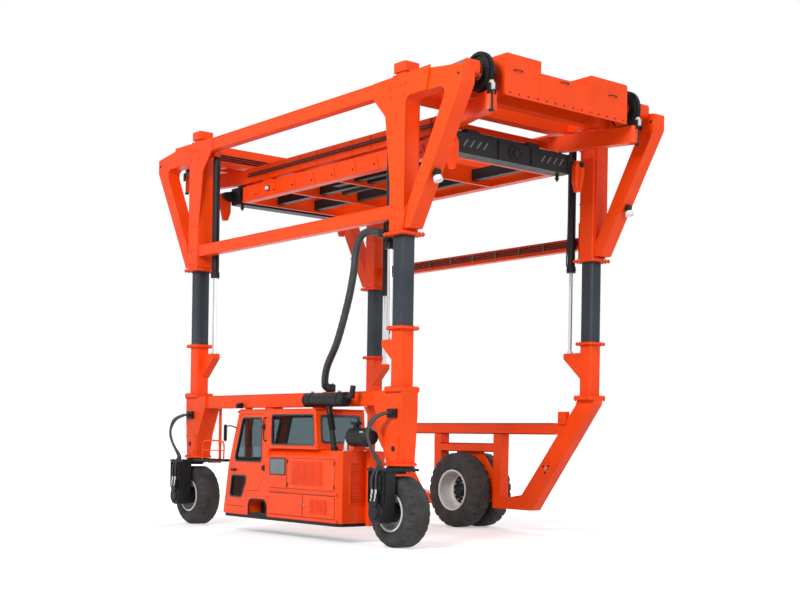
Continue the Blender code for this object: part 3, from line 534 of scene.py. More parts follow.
def tyre(node, body, lugs, reach, depth):
    low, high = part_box(node)
    centre = (Vector(low) + Vector(high)) / 2
    outer = (high[2] - low[2]) / 2
    width = high[0] - low[0]
    inner = STEER_RIM_R if outer < 0.6 else TWIN_RIM_R
    kit = tyre_mesh(outer, inner, width, lugs, reach, depth)
    bmesh.ops.transform(kit.shape, matrix=Matrix.Translation(centre) @ ACROSS, verts=kit.shape.verts)
    made = kit.piece(f"{node}_tread", body, "tyre_rubber", 28)
    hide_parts(node)


def wheel_hub(name, body, centre, facing, hub_r, nut_r, nuts, depth):
    """Hub cap and wheel nuts on one face of a rim's disc; facing is the way the face looks."""
    x, y, z = centre
    dark, bright = Kit(), Kit()
    face = x + facing * 0.013
    place = Matrix.Translation((face, y, z)) @ ACROSS
    if facing < 0:
        place = place @ Matrix.Rotation(math.pi, 4, "X")
    dark.turned([(0.0, depth), (hub_r * 0.55, depth), (hub_r * 0.72, depth * 0.82),
                 (hub_r * 0.95, depth * 0.35), (hub_r, 0.0), (0.0, 0.0)], place, 32)
    dark.turned([(nut_r * 1.26, 0.008), (nut_r * 1.30, 0.0), (nut_r * 0.7, 0.0), (nut_r * 0.7, 0.008)],
                place, 40)
    way = Vector((facing, 0, 0))
    for spot in circle((face, y, z), "X", nut_r, nuts):
        bright.rod(spot, spot + way * 0.034, 0.017, 6, bevel=0.002)
        bright.rod(spot + way * 0.03, spot + way * 0.046, 0.009, 8)
    dark.piece(f"{name}_hub", body, "black_steel")
    bright.piece(f"{name}_nuts", body, "bright_steel")


def wheels():
    for end, sy in ENDS.items():
        tyre(f"wheel_tyre_{end}", f"wheel_{end}", 26, 0.62, 0.020)
        centre = (-LEG_X + 0.02, sy * LEG_Y, STEER_Z)
        wheel_hub(f"steered_wheel_{end}", f"wheel_{end}", centre, 1, 0.10, 0.165, 10, 0.05)
        lip = Kit()
        for side in (-1, 1):
            place = Matrix.Translation((-LEG_X + side * 0.18, sy * LEG_Y, STEER_Z)) @ ACROSS
            lip.turned([(0.282, -0.012), (0.290, -0.012), (0.290, 0.012), (0.282, 0.014), (0.262, 0.010),
                        (0.258, 0.0), (0.262, -0.010)], place, 56)
        lip.piece(f"steered_rim_lips_{end}", f"wheel_{end}", "rim_paint")
    for name, x, facing in (("inner", 1.745, -1), ("outer", 2.255, 1)):
        tyre(f"twin_tyre_{name}", "twin_wheel", 24, 0.40, 0.024)
        disc = x - facing * 0.10
        wheel_hub(f"twin_wheel_{name}", "twin_wheel", (disc, 0, TWIN_Z), facing, 0.125, 0.20, 12, 0.10)
        lip = Kit()
        place = Matrix.Translation((x + facing * 0.175, 0, TWIN_Z)) @ ACROSS
        lip.turned([(0.360, -0.014), (0.370, -0.014), (0.370, 0.012), (0.360, 0.016), (0.338, 0.010),
                    (0.333, 0.0), (0.340, -0.012)], place, 64)
        lip.piece(f"twin_rim_lip_{name}", "twin_wheel", "rim_paint")


# ---------------------------------------------------------------- steering knuckles
def knuckle_details():
    """Drive motor, port fittings, hoses and bolts on each steering knuckle."""
    for end, sy in ENDS.items():
        body = f"steering_{end}"
        y = sy * LEG_Y
        dark, bright = Kit(), Kit()
        # motor housing stepped out from the fork plate, and its cover
        dark.rod((-2.425, y, STEER_Z), (-2.475, y, STEER_Z), 0.165, 40, 0.150, bevel=0.006)
        dark.rod((-2.47, y, STEER_Z), (-2.505, y, STEER_Z), 0.105, 32, 0.095, bevel=0.006)
        dark.box((-2.50, -2.425), (y - 0.085, y + 0.085), (0.60, 0.80), 0.012)
        dark.box((-2.47, -2.425), (y - 0.13, y + 0.13), (0.84, 1.06), 0.01)
        for side in (-1, 1):                                   # ribs down both edges of the fork plate
            dark.outline([(y + side * 0.175, 1.11), (y + side * 0.175, 0.66), (y + side * 0.160, 0.66),
                          (y + side * 0.160, 1.11)], "YZ", (-2.465, -2.25), 0.003)
        for place in circle((-2.462, y, STEER_Z), "X", 0.135, 12):
            dark.bolt(place, (-1, 0, 0), 0.010, 0.014)
        for side in (-0.045, 0.045):
            bright.rod((-2.485, y + side, 0.78), (-2.485, y + side, 0.86), 0.016, 6, bevel=0.002)
            bright.rod((-2.485, y + side, 0.72), (-2.485, y + side, 0.79), 0.022, 6, bevel=0.002)
            bright.rod((-2.50, y + side, 0.70), (-2.515, y + side, 0.70), 0.018, 6, bevel=0.002)
        # bolts of the slewing ring and of the top plate
        for place in circle((-LEG_X, y, 1.114), "Z", 0.20, 10, 0.5):
            dark.bolt(place, (0, 0, -1), 0.012, 0.014)
        for u in (-0.19, 0.19):
            for x in (-2.40, -2.30):
                dark.bolt((x, y + u, 1.155), (0, 0, 1), 0.012, 0.014)
        dark.piece(f"drive_motor_{end}", body, "black_steel")
        bright.piece(f"motor_fittings_{end}", body, "bright_steel")
        hoses = Kit()
        for side in (-0.045, 0.045):
            hoses.pipe([(-2.485, y + side, 0.855), (-2.487, y + side * 1.1, 0.95),
                        (-2.478, y + side * 0.9, 1.05), (-2.44, y + side * 0.7, 1.13),
                        (-2.40, y + side * 0.6, 1.175), (-2.36, y + side * 0.6, 1.185)], 0.017, 10, 0.02)
        hoses.piece(f"motor_hoses_{end}", body, "hose_rubber")


def steering_hoses():
    """Loops of hose from each knuckle to the manifold on its foot, slack enough for the steering."""
    for end, sy in ENDS.items():
        y = sy * LEG_Y
        for number, lean in enumerate((-0.035, 0.0, 0.035)):
            out = -2.50 + number * 0.02
            kit = Kit()
            kit.pipe([(-2.38, y + lean, 1.155), (-2.39, y + lean + 0.02, 1.25),
                      (out + 0.03, y + lean + 0.13, 1.45), (out + 0.02, y + lean + 0.20, 1.66),
                      (-2.40, y + lean + 0.16, 1.86), (-2.28, y + lean + 0.05, 1.95),
                      (-2.20, y + lean, 1.955)], 0.020, 12, 0.02)
            made = kit.piece(f"steering_hose_{end}_{number + 1}", None, "hose_rubber")
            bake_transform(made)
        block = Kit()
        block.box((-2.20, -2.15), (y - 0.10, y + 0.10), (1.89, 2.02), 0.006)
        block.rod((-2.20, y - 0.06, 1.955), (-2.26, y - 0.06, 1.955), 0.028, 16, bevel=0.003)
        for lean in (-0.035, 0.0, 0.035):
            block.rod((-2.20, y + lean, 1.955), (-2.235, y + lean, 1.955), 0.026, 6, bevel=0.003)
        block.piece(f"leg_manifold_{end}", "chassis", "black_steel")


# ---------------------------------------------------------------- cab
DOOR_OUTLINE = [(0.735, 1.955, 0.05), (0.05, 1.955, 0.03), (0.05, 1.00), (0.20, 0.70), (0.56, 0.70),
                (0.62, 0.43), (1.17, 0.43, 0.03), (1.045, 1.09)]
DOOR_WINDOW = [(0.69, 1.90, 0.06), (0.11, 1.90, 0.04), (0.11, 1.17, 0.05), (0.95, 1.17, 0.06)]
LOW_WINDOW = [(1.01, 0.95, 0.05), (0.57, 0.95, 0.03), (0.56, 0.86), (0.70, 0.58, 0.05), (1.08, 0.58, 0.05)]
SIDE_WINDOW = [(-0.17, 1.945, 0.04), (-1.32, 1.945, 0.04), (-1.36, 1.46, 0.04), (-0.17, 1.46, 0.04)]
INNER_WINDOW = [(0.62, 1.93, 0.05), (-1.30, 1.93, 0.05), (-1.33, 1.47, 0.05), (-0.10, 1.47, 0.05),
                (-0.02, 1.20, 0.05), (0.86, 1.20, 0.05)]


def panes():
    """Glass in every window, each in a black rubber seal."""
    rows = [
        # name, outline, body, glass limits in X, seal limits in X
        ("door_window", DOOR_WINDOW, "cab_door", (-2.434, -2.428), (-2.456, -2.412)),
        ("door_low_window", LOW_WINDOW, "cab_door", (-2.434, -2.428), (-2.456, -2.412)),
        ("side_window", SIDE_WINDOW, "chassis", (-2.430, -2.424), (-2.456, -2.408)),
        ("inner_side_window", INNER_WINDOW, "chassis", (-1.546, -1.540), (-1.568, -1.514)),
    ]
    for name, points, body, glass_x, seal_x in rows:
        Kit().outline(inset(points, 0.004), "YZ", glass_x).piece(f"{name}_glass", body, "glass")
        Kit().frame(inset(points, -0.004), "YZ", seal_x, 0.022).piece(f"{name}_seal", body, "dark_plastic")
    # the windscreen leans with the cab's front, the rear window with its back
    for name, low, high in (("windscreen", (1.040, 1.215), (0.795, 1.905)),
                            ("rear_window", (-1.412, 1.505), (-1.377, 1.925))):
        across = (-2.36, -1.61)
        middle = Vector((sum(across), low[0] + high[0], low[1] + high[1])) / 2
        lean = Vector((0, high[0] - low[0], high[1] - low[1]))
        tall, wide = lean.length / 2, (across[1] - across[0]) / 2
        upright = Matrix.Rotation(-math.atan2(lean.y, lean.z), 4, "X")
        ring = rect((-wide, wide), (-tall, tall), 0.05)
        for part, slot in (("glass", "glass"), ("seal", "dark_plastic")):
            kit = Kit()
            if part == "glass":
                kit.outline(inset(ring, 0.006), "XZ", (-0.003, 0.003))
            else:
                kit.frame(inset(ring, -0.012), "XZ", (-0.020, 0.020), 0.034)
            place = Matrix.Translation(middle) @ upright
            bmesh.ops.transform(kit.shape, matrix=place, verts=kit.shape.verts)
            kit.piece(f"{name}_{part}", "chassis", slot)


def door_details():
    """Handle, hinges, inner rail and edge seal of the cab door."""
    dark, steel = Kit(), Kit()
    dark.box((-2.478, -2.452), (0.86, 1.00), (1.015, 1.050), 0.006)
    dark.rod((-2.495, 0.875, 1.033), (-2.495, 0.985, 1.033), 0.010, 12)
    for y in (0.875, 0.985):
        dark.rod((-2.455, y, 1.033), (-2.497, y, 1.033), 0.008, 10)
    dark.pipe([(-2.405, 0.30, 0.98), (-2.365, 0.34, 0.99), (-2.365, 0.60, 1.04), (-2.405, 0.66, 1.05)],
              0.012, 10)
    dark.piece("door_handle", "cab_door", "black_steel")
    for z in (1.08, 1.74):
        steel.rod((-2.457, 0.030, z - 0.05), (-2.457, 0.030, z + 0.05), 0.011, 14, bevel=0.002)
        steel.box((-2.456, -2.450), (0.034, 0.105), (z - 0.035, z + 0.035), 0.002)
        for y in (0.062, 0.090):
            steel.bolt((-2.456, y, z), (-1, 0, 0), 0.007, 0.008)
    steel.piece("door_hinges", "cab_door", "black_steel")
    seal = Kit().frame(inset(DOOR_OUTLINE, 0.010), "YZ", (-2.411, -2.400), 0.020)
    seal.piece("door_edge_seal", "cab_door", "dark_plastic")


def wiper(kit, base, tip, blade):
    kit.rod(base, Vector(base) + Vector((0, 0.02, 0.0)), 0.018, 12)
    kit.tube([Vector(base), Vector(tip)], 0.007, 8)
    kit.tube([Vector(tip) - Vector(blade), Vector(tip) + Vector(blade)], 0.008, 6)


def cab_details():
    """Roof rim, lamps, mirrors, wiper, grab rails, step plate and the frame of the foot recess."""
    dark, orange, lens, steel = Kit(), Kit(), Kit(), Kit()
    # gutter along the roof and visor over the windscreen
    orange.box((-2.462, -1.508), (-1.39, 0.76), (2.012, 2.030), 0.006)
    orange.box((-2.462, -1.508), (0.72, 0.86), (1.995, 2.015), 0.006,
               Matrix.Rotation(math.radians(-20), 4, "X"))
    # sill of the side window
    orange.outline(rect((-1.42, -0.10), (1.40, 1.44)), "YZ", (-2.462, -2.449), 0.003)
    # kick plate edge round the foot recess and its tread
    arch = [(0.49, 0.31), (0.49, 0.57, 0.12), (-0.05, 0.57, 0.12), (-0.05, 0.31)]
    dark.frame(inset(arch, -0.008), "YZ", (-2.457, -2.444), 0.022)
    dark.box((-2.44, -2.205), (-0.02, 0.46), (0.322, 0.336), 0.003)
    dark.outline(inset(arch, 0.001), "YZ", (-2.206, -2.201))            # dark sheet at the back of the recess: painted shade
    for k in range(7):
        steel.box((-2.43, -2.20), (0.01 + k * 0.07, 0.025 + k * 0.07), (0.335, 0.344), 0.002)
    # front lamps on the cab's nose
    for x in (-2.30, -1.68):
        dark.rod((x, 1.225, 0.62), (x, 1.262, 0.62), 0.075, 28, bevel=0.006)
        lens.rod((x, 1.255, 0.62), (x, 1.272, 0.62), 0.062, 28, 0.050, bevel=0.003)
    wiper(dark, (-1.99, 1.062, 1.18), (-2.16, 0.905, 1.62), (0.0, -0.10, 0.29))
    # mirror on its arm
    dark.pipe([(-2.44, 0.86, 1.72), (-2.50, 1.00, 1.76), (-2.53, 1.10, 1.74)], 0.010, 10)
    dark.box((-2.56, -2.50), (1.09, 1.12), (1.50, 1.78), 0.012)
    # grab rail behind the door and beacon on the roof
    dark.pipe([(-2.448, -0.015, 1.52), (-2.50, -0.02, 1.55), (-2.50, -0.02, 1.86), (-2.448, -0.015, 1.89)],
              0.011, 10)
    dark.rod((-1.70, -0.30, 2.028), (-1.70, -0.30, 2.05), 0.05, 24)
    lens.rod((-1.70, -0.30, 2.05), (-1.70, -0.30, 2.12), 0.040, 24, 0.032, bevel=0.006)
    dark.piece("cab_fittings", "chassis", "black_steel")
    orange.piece("cab_trim", "chassis", "cab_paint")
    lens.piece("cab_lamps", "chassis", "lamp_lens")
    steel.piece("step_treads", "chassis", "bright_steel")


def cushion(x, y, z, crown, cuts=12):
    """A crowned pad between limits: full in the middle, pulled in between its corners."""
    low = Vector((x[0], y[0], z[0]))
    high = Vector((x[1], y[1], z[1]))
    pad = bmesh.new()
    bmesh.ops.create_cube(pad, size=2)
    bmesh.ops.subdivide_edges(pad, edges=pad.edges, cuts=cuts, use_grid_fill=True)
    middle, half = (low + high) / 2, (high - low) / 2
    for vert in pad.verts:
        u, v, w = vert.co
        squeeze = 1 - 0.08 * abs(u * v * w) - 0.05 * max(abs(u * v), abs(v * w), abs(u * w)) ** 4
        full = 1 + crown * (1 - u * u) * (1 - v * v)
        seam = 0.03 * math.exp(-((abs(u) - 0.5) / 0.05) ** 2)
        vert.co = middle + Vector((u * half.x * squeeze, v * half.y * squeeze,
                                   w * half.z * squeeze * (full - seam) * (1 / (1 + crown))))
    return pad


def seat():
    """Sprung seat on its pedestal with padded cushions, armrests, levers and the steering console."""
    middle = -1.88
    base, metal = Kit(), Kit()
    base.box((middle - 0.21, middle + 0.21), (0.06, 0.49), (0.351, 0.60), 0.015)
    for k in range(6):                                      # bellows of the sprung base
        grow = 0.012 if k % 2 else 0.0
        base.box((middle - 0.18 - grow, middle + 0.18 + grow), (0.09 - grow, 0.46 + grow),
                 (0.60 + k * 0.026, 0.626 + k * 0.026), 0.006)
    console = [(0.98, 0.351), (0.98, 0.93, 0.04), (0.88, 1.02, 0.03), (0.80, 0.99, 0.03), (0.86, 0.351)]
    base.outline(console, "YZ", (middle - 0.13, middle + 0.13), 0.008)
    base.box((middle - 0.10, middle + 0.10), (0.46, 0.88), (0.351, 0.40), 0.01)
    for side in (-1, 1):                                    # armrests with their pods
        x = middle + side * 0.245
        base.box((x - 0.025, x + 0.025), (0.02, 0.38), (1.05, 1.09), 0.012)
        base.box((x - 0.02, x + 0.02), (0.02, 0.07), (0.80, 1.06), 0.008)
        metal.rod((x, 0.34, 1.09), (x, 0.34, 1.17), 0.008, 10)
        base.rod((x, 0.34, 1.16), (x, 0.34, 1.21), 0.017, 14, 0.013, bevel=0.004)
    # steering column and wheel
    metal.rod((middle, 0.86, 1.00), (middle, 0.74, 1.09), 0.022, 16)
    tilt = along((middle, 0.755, 1.075), (middle, 0.695, 1.12))
    ring = [tilt @ place for place in circle((0, 0, 0.02), "Z", 0.17, 40)]
    base.tube([*ring, ring[0]], 0.013, 10)
    for turn in (0.0, 2.1, 4.2):
        spoke = tilt @ Vector((0.165 * math.cos(turn), 0.165 * math.sin(turn), 0.02))
        base.tube([tilt @ Vector((0, 0, 0.0)), spoke], 0.010, 8)
    made = base.piece("seat_and_console", "chassis", "dark_plastic")
    metal.piece("seat_levers", "chassis", "bright_steel")
    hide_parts("cab_seat")
    pads = [
        ("seat_cushion", (middle - 0.24, middle + 0.24), (0.03, 0.53), (0.76, 0.88), None),
        ("seat_back", (middle - 0.23, middle + 0.23), (-0.31, 0.31), (-0.05, 0.05), True),
    ]
    for name, x, y, z, leans in pads:
        pad = cushion(x, y, z, 0.35)
        if leans:
            lean = Matrix.Translation((0, 0.035, 1.17)) @ Matrix.Rotation(math.radians(94), 4, "X")
            bmesh.ops.transform(pad, matrix=lean, verts=pad.verts)
        kit = Kit()
        mesh = bpy.data.meshes.new(name)
        pad.to_mesh(mesh)
        pad.free()
        kit.shape.from_mesh(mesh)
        bpy.data.meshes.remove(mesh)
        kit.piece(name, "chassis", "seat_vinyl", 60)


# ---------------------------------------------------------------- engine unit
def louvres(kit, y, z, x, count, columns=4):
    """A panel of short slats that lean out and down, in columns."""
    step = (z[1] - z[0]) / count
    wide = (y[1] - y[0]) / columns
    lean = Matrix.Rotation(math.radians(-32), 4, "Y")
    for row in range(count):
        low = z[0] + row * step
        for column in range(columns):
            start = y[0] + column * wide
            kit.box((x - 0.009, x - 0.003), (start + 0.012, start + wide - 0.012),
                    (low, low + step * 0.72), 0.0015, lean)


def hood_details():
    """Side doors, louvres, latches, the grey control panel and the step along the bottom."""
    orange, dark, grey, steel = Kit(), Kit(), Kit(), Kit()
    # two side doors over the ledge, each ringed by a thin black frame that is painted shade in the gap
    # between them
    doors = [
        ((-0.135, -0.62), (0.78, 1.255)), ((-0.64, -1.90), (0.78, 1.255)),
        ((-0.135, -1.06), (0.36, 0.70)), ((-1.08, -1.90), (0.36, 0.70)),
    ]
    for (front, rear), (low, high) in doors:
        ring = rect((front, rear), (low, high), 0.012)
        orange.outline(ring, "YZ", (-2.457, -2.448), 0.0025)
        dark.frame(inset(ring, -0.006), "YZ", (-2.4515, -2.4485), 0.007)
    orange.outline(rect((-1.97, -0.11), (0.718, 0.742)), "YZ", (-2.468, -2.448), 0.004)
    orange.outline(rect((-1.97, -0.11), (0.304, 0.345)), "YZ", (-2.464, -2.448), 0.004)
    # panel behind the door, with its lock
    grey.outline(rect((-0.585, -0.155), (0.99, 1.245), 0.01), "YZ", (-2.466, -2.456), 0.003)
    dark.frame(rect((-0.59, -0.150), (0.985, 1.25), 0.01), "YZ", (-2.469, -2.456), 0.012)
    for y, z in ((-0.68, 1.16), (-1.86, 1.02), (-1.02, 0.53), (-1.12, 0.53)):
        steel.rod((-2.457, y, z), (-2.470, y, z), 0.017, 16, bevel=0.003)
        dark.box((-2.475, -2.469), (y - 0.022, y + 0.022), (z - 0.006, z + 0.006), 0.002)
    for z in (0.84, 1.20):
        for y in (-0.655, -1.885):
            dark.rod((-2.460, y, z - 0.03), (-2.460, y, z + 0.03), 0.008, 10)
    # vents: the large one, the low one and the one in the rear wall
    vents = Kit()
    louvres(vents, (-1.60, -0.75), (0.84, 1.22), -2.457, 13)
    louvres(vents, (-1.72, -1.25), (0.42, 0.64), -2.457, 8)
    vents.piece("hood_louvres", "chassis", "cab_paint", 50)
    rear = Kit()
    for k in range(14):
        z = 0.62 + k * 0.042
        rear.box((-2.22, -1.66), (HOOD_REAR_Y - 0.012, HOOD_REAR_Y - 0.002), (z, z + 0.020), 0.003,
                 Matrix.Rotation(math.radians(24), 4, "X"))
    rear.frame(rect((-2.25, -1.63), (0.59, 1.23), 0.02), "XZ", (HOOD_REAR_Y - 0.014, HOOD_REAR_Y - 0.001),
               0.022)
    rear.piece("radiator_grille", "chassis", "cab_paint")
    # top: raised service lid and filler caps
    orange.outline(rect((-2.28, -1.66), (-1.50, -0.62), 0.03), "XY", (HOOD_TOP_Z, HOOD_TOP_Z + 0.012), 0.004)
    for x, y in ((-1.74, -1.62), (-1.74, -1.80)):
        dark.rod((x, y, HOOD_TOP_Z), (x, y, HOOD_TOP_Z + 0.035), 0.045, 24, bevel=0.006)
    orange.piece("hood_doors", "chassis", "cab_paint")
    dark.piece("hood_gap_shade_and_hinges", "chassis", "black_steel")
    grey.piece("control_panel", "chassis", "grey_steel")
    steel.piece("hood_latches", "chassis", "bright_steel")


def exhaust_details():
    """Clamps and end seams of the silencer, and its flexible joint."""
    dark, steel = Kit(), Kit()
    x, z = -2.305, 2.165
    for y in (-1.10, -1.80):
        place = Matrix.Translation((x, y, z)) @ Matrix.Rotation(math.pi / 2, 4, "X")
        dark.turned([(0.105, -0.02), (0.112, -0.02), (0.112, 0.02), (0.105, 0.02)], place, 40)
        dark.rod((x - 0.02, y, z + 0.105), (x - 0.02, y, z + 0.135), 0.012, 8)
        steel.bolt((x, y - 0.024, z + 0.118), (0, -1, 0), 0.010, 0.012)
    for y, sign in ((-0.96, 1), (-1.93, -1)):
        dark.rod((x, y, z), (x, y + sign * 0.028, z), 0.105, 40, 0.085, bevel=0.006)
        place = Matrix.Translation((x, y, z)) @ Matrix.Rotation(math.pi / 2, 4, "X")
        dark.turned([(0.103, -0.012), (0.110, -0.012), (0.110, 0.012), (0.103, 0.012)], place, 40)
    top, low = Vector((x, -1.52, z - 0.10)), Vector((x, -1.655, HOOD_TOP_Z + 0.20))
    for k in range(11):                                      # bellows of the flexible joint
        spot = low.lerp(top, 0.25 + k * 0.045)
        dark.rod(spot, spot + (top - low).normalized() * 0.016, 0.052, 24, bevel=0.004)
    dark.piece("silencer_clamps", "chassis", "black_steel")
    steel.piece("silencer_bolts", "chassis", "bright_steel")


def air_cleaner_details():
    """Ribs, clips and rain cap of the air cleaner, and its pale elbow down to the hood."""
    dark, light, steel = Kit(), Kit(), Kit()
    x, z = -2.24, 1.60
    for y, radius in ((-2.08, 0.139), (-2.16, 0.139), (-2.24, 0.139), (-2.32, 0.139), (-2.43, 0.148)):
        place = Matrix.Translation((x, y, z)) @ Matrix.Rotation(math.pi / 2, 4, "X")
        dark.turned([(0.130, -0.014), (radius - 0.003, -0.012), (radius, 0.0), (radius - 0.003, 0.012),
                     (0.130, 0.014)], place, 44)
    dark.rod((x, -2.54, z), (x, -2.56, z), 0.055, 28, 0.045, bevel=0.004)
    for turn in (0.5, 2.6, 4.7):
        u, v = 0.150 * math.cos(turn), 0.150 * math.sin(turn)
        steel.box((x + u - 0.010, x + u + 0.010), (-2.47, -2.39), (z + v - 0.010, z + v + 0.010), 0.003)
    for k in range(6):
        low = z + 0.185 + k * 0.008
        dark.rod((x, -2.14, low), (x, -2.14, low + 0.005), 0.092 - k * 0.002, 32)
    light.pipe([(x, -2.05, z), (x, -1.99, z), (x, -1.93, z - 0.04), (x, -1.90, z - 0.12),
                (x, -1.90, z - 0.19)], 0.047, 24, 0.02)
    light.rod((x, -1.90, HOOD_TOP_Z - 0.01), (x, -1.90, HOOD_TOP_Z + 0.02), 0.062, 28, bevel=0.004)
    dark.piece("air_cleaner_ribs", "chassis", "black_steel")
    light.piece("air_intake_elbow", "chassis", "bright_steel")
    steel.piece("air_cleaner_clips", "chassis", "bright_steel")


# ---------------------------------------------------------------- hoist
def hoist_details():
    """Split bearings on their posts, and the hubs, bolts and lightening holes of the pulleys, the holes
    drawn as black discs of painted shade.
    """
    housing, steel = Kit(), Kit()
    for end, sy in ENDS.items():
        y, z = sy * HOIST_Y, HOIST_Z
        turning, hubs = Kit(), Kit()
        for sx in SIDES.values():
            # split bearing housing on the bearing post
            for x in (1.665, 1.885):
                inner, outer = sx * (x - 0.022), sx * (x + 0.022)
                housing.rod((inner, y, z), (outer, y, z), 0.105, 32, bevel=0.006)
                housing.rod((sx * (x - 0.030), y, z), (sx * (x + 0.030), y, z), 0.075, 28, bevel=0.004)
                housing.box((inner, outer), (y - 0.15, y + 0.15), (z - 0.10, z - 0.055), 0.006)
                for side in (-0.115, 0.115):
                    steel.bolt((sx * x, y + side, z - 0.055), (0, 0, 1), 0.016, 0.020)
            # hub and bolts on both faces of the pulley, and thin black discs as painted shade where its
            # dished lightening holes are
            face = sx * (PULLEY_X + 0.030)
            back = sx * (PULLEY_X - 0.030)
            for x, way in ((face, sx), (back, -sx)):
                hubs.rod((x, y, z), (x + way * 0.018, y, z), 0.115, 32, 0.105, bevel=0.003)
                for spot in circle((x, y, z), "X", 0.165, 8):
                    turning.rod(spot, spot + Vector((way * 0.004, 0, 0)), 0.026, 20)
                for spot in circle((x + way * 0.016, y, z), "X", 0.085, 6, 0.5):
                    turning.bolt(spot, (way, 0, 0), 0.012, 0.014)
        turning.piece(f"pulley_bolts_and_hole_shade_{end}", f"hoist_shaft_{end}", "black_steel")
        hubs.piece(f"pulley_hubs_{end}", f"hoist_shaft_{end}", "orange_paint")
    housing.piece("hoist_bearings", "upper_frame", "grey_steel")
    steel.piece("hoist_bearing_bolts", "upper_frame", "bright_steel")


def chain_run(kit, stops, spacing):
    """Leaf chain along a route in one upright plane: link plates side by side, a pin at each joint."""
    route = smooth_route(stops, spacing)
    for first, second in zip(route, route[1:]):
        middle, way = (first + second) / 2, second - first
        lean = Matrix.Rotation(math.atan2(-way.y, way.z), 4, "X")
        for number in range(5):
            x = middle.x + (number - 2) * 0.011
            half = way.length * (0.66 if number % 2 else 0.60)
            kit.box((x - 0.004, x + 0.004), (middle.y - 0.020, middle.y + 0.020),
                    (middle.z - half, middle.z + half), 0.0, lean)
        kit.rod(first - Vector((0.032, 0, 0)), first + Vector((0.032, 0, 0)), 0.011, 10)


def chains():
    """Each lift chain runs over its pulley and down to the load cell and hook of the head frame."""
    for end, sy in ENDS.items():
        for side, sx in SIDES.items():
            x = sx * PULLEY_X
            top = Kit()
            over = [(x, sy * (HOIST_Y + (PULLEY_R + 0.004) * math.cos(math.radians(a))),
                     HOIST_Z + (PULLEY_R + 0.004) * math.sin(math.radians(a))) for a in range(0, 181, 15)]
            chain_run(top, over, 0.042)
            top.piece(f"chain_over_{end}_{side}", "upper_frame", "black_steel", 30)
            y = sy * HOOK_Y
            hang = Kit()
            chain_run(hang, [(x, y, HOIST_Z), (x, y, 6.68), (x, y, 6.60)], 0.042)
            made = hang.piece(f"chain_drop_{end}_{side}", None, "black_steel", 30)
            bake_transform(made)
            cell, dark = Kit(), Kit()
            cell.box((x - 0.045, x + 0.045), (y - 0.035, y + 0.035), (6.49, 6.60), 0.012)
            cell.rod((x, y, 6.585), (x, y, 6.625), 0.030, 20, bevel=0.004)
            dark.rod((x - 0.06, y, 6.545), (x + 0.06, y, 6.545), 0.018, 16, bevel=0.002)
            for cheek in (-0.055, 0.055):
                dark.box((x + cheek - 0.008, x + cheek + 0.008), (y - 0.04, y + 0.04), (6.43, 6.58), 0.006)
            dark.rod((x, y, 6.20), (x, y, 6.50), 0.022, 16, bevel=0.003)
            dark.rod((x, y, 6.185), (x, y, 6.215), 0.038, 6, bevel=0.004)
            cell.piece(f"load_cell_{end}_{side}", "head", "rim_paint")
            dark.piece(f"chain_shackle_{end}_{side}", "head", "black_steel")


def hoist_cover_details():
    """Seams, handles and screws of the hoist cover."""
    orange, dark = Kit(), Kit()
    y = -4.242
    for x in (-0.62, 0.52):
        orange.outline(rect((x - 0.012, x + 0.012), (6.50, 6.88)), "XZ", (y - 0.003, y + 0.002), 0.0015)
    for k in range(14):
        x = -1.20 + k * 2.40 / 13
        dark.bolt((x, y, 6.515), (0, -1, 0), 0.009, 0.008)
    for x in (-1.05, -0.10, 0.95):
        dark.pipe([(x - 0.07, y, 6.84), (x - 0.07, y - 0.03, 6.845), (x + 0.07, y - 0.03, 6.845),
                   (x + 0.07, y, 6.84)], 0.007, 8, 0.01)
    orange.piece("hoist_cover_seams", "upper_frame", "orange_paint")
    dark.piece("hoist_cover_screws", "upper_frame", "black_steel")


# ---------------------------------------------------------------- spreader
def spreader_details():
    """Gussets, rails, stiffeners, lamps and hydraulics of head frame and spreader."""
    orange, dark, lens, steel = Kit(), Kit(), Kit(), Kit()
    for sx in SIDES.values():
        out = sx * 1.20
        for k in range(9):                               # upright gussets along the spreader's side
            y = -2.32 + k * 0.58
            orange.outline([(y - 0.10, 5.90), (y + 0.10, 5.90), (y + 0.022, 6.09), (y - 0.022, 6.09)], "YZ",
                           (out - sx * 0.004, out + sx * 0.020), 0.003)
            dark.bolt((out + sx * 0.018, y, 5.975), (sx, 0, 0), 0.013, 0.014)
        # rail along the side's foot
        orange.outline(rect((-2.78, 2.78), (5.882, 5.905)), "YZ", (out - sx * 0.002, out + sx * 0.03), 0.003)
        for y in (-1.95, 1.95):
            lens.rod((out + sx * 0.01, y, 6.03), (out + sx * 0.055, y, 6.03), 0.038, 24, 0.030, bevel=0.004)
            dark.rod((out - sx * 0.004, y, 6.03), (out + sx * 0.02, y, 6.03), 0.052, 24, bevel=0.004)
        # head frame side: stiffeners and pipe run
        face = sx * 1.18
        for k in range(11):
            y = -2.50 + k * 0.50
            orange.box((face - sx * 0.002, face + sx * 0.016), (y - 0.012, y + 0.012), (6.235, 6.465),
                       0.003)
        for z, radius in ((6.33, 0.013), (6.37, 0.010)):
            dark.run(face + sx * 0.035, (-2.6, 0, 2.6), z, radius, 10, 0.10)
    # cylinder that drives the telescopic ends, with its hoses
    dark.rod((0.0, -1.30, 6.02), (0.0, 1.30, 6.02), 0.052, 24, bevel=0.006)
    steel.rod((0.0, 1.29, 6.02), (0.0, 1.70, 6.02), 0.026, 18)
    for y in (-1.15, 1.15):
        dark.pipe([(0.0, y, 6.07), (0.03, y, 6.16), (0.20, y * 0.9, 6.20), (0.60, y * 0.8, 6.20),
                   (0.95, y * 0.8, 6.23)], 0.014, 10, 0.03)
    orange.piece("spreader_gussets", "head", "orange_paint")
    dark.piece("spreader_pipes", "head", "black_steel")
    lens.piece("spreader_side_lamps", "head", "lamp_lens")
    steel.piece("spreader_cylinder_rod", "head", "chrome")


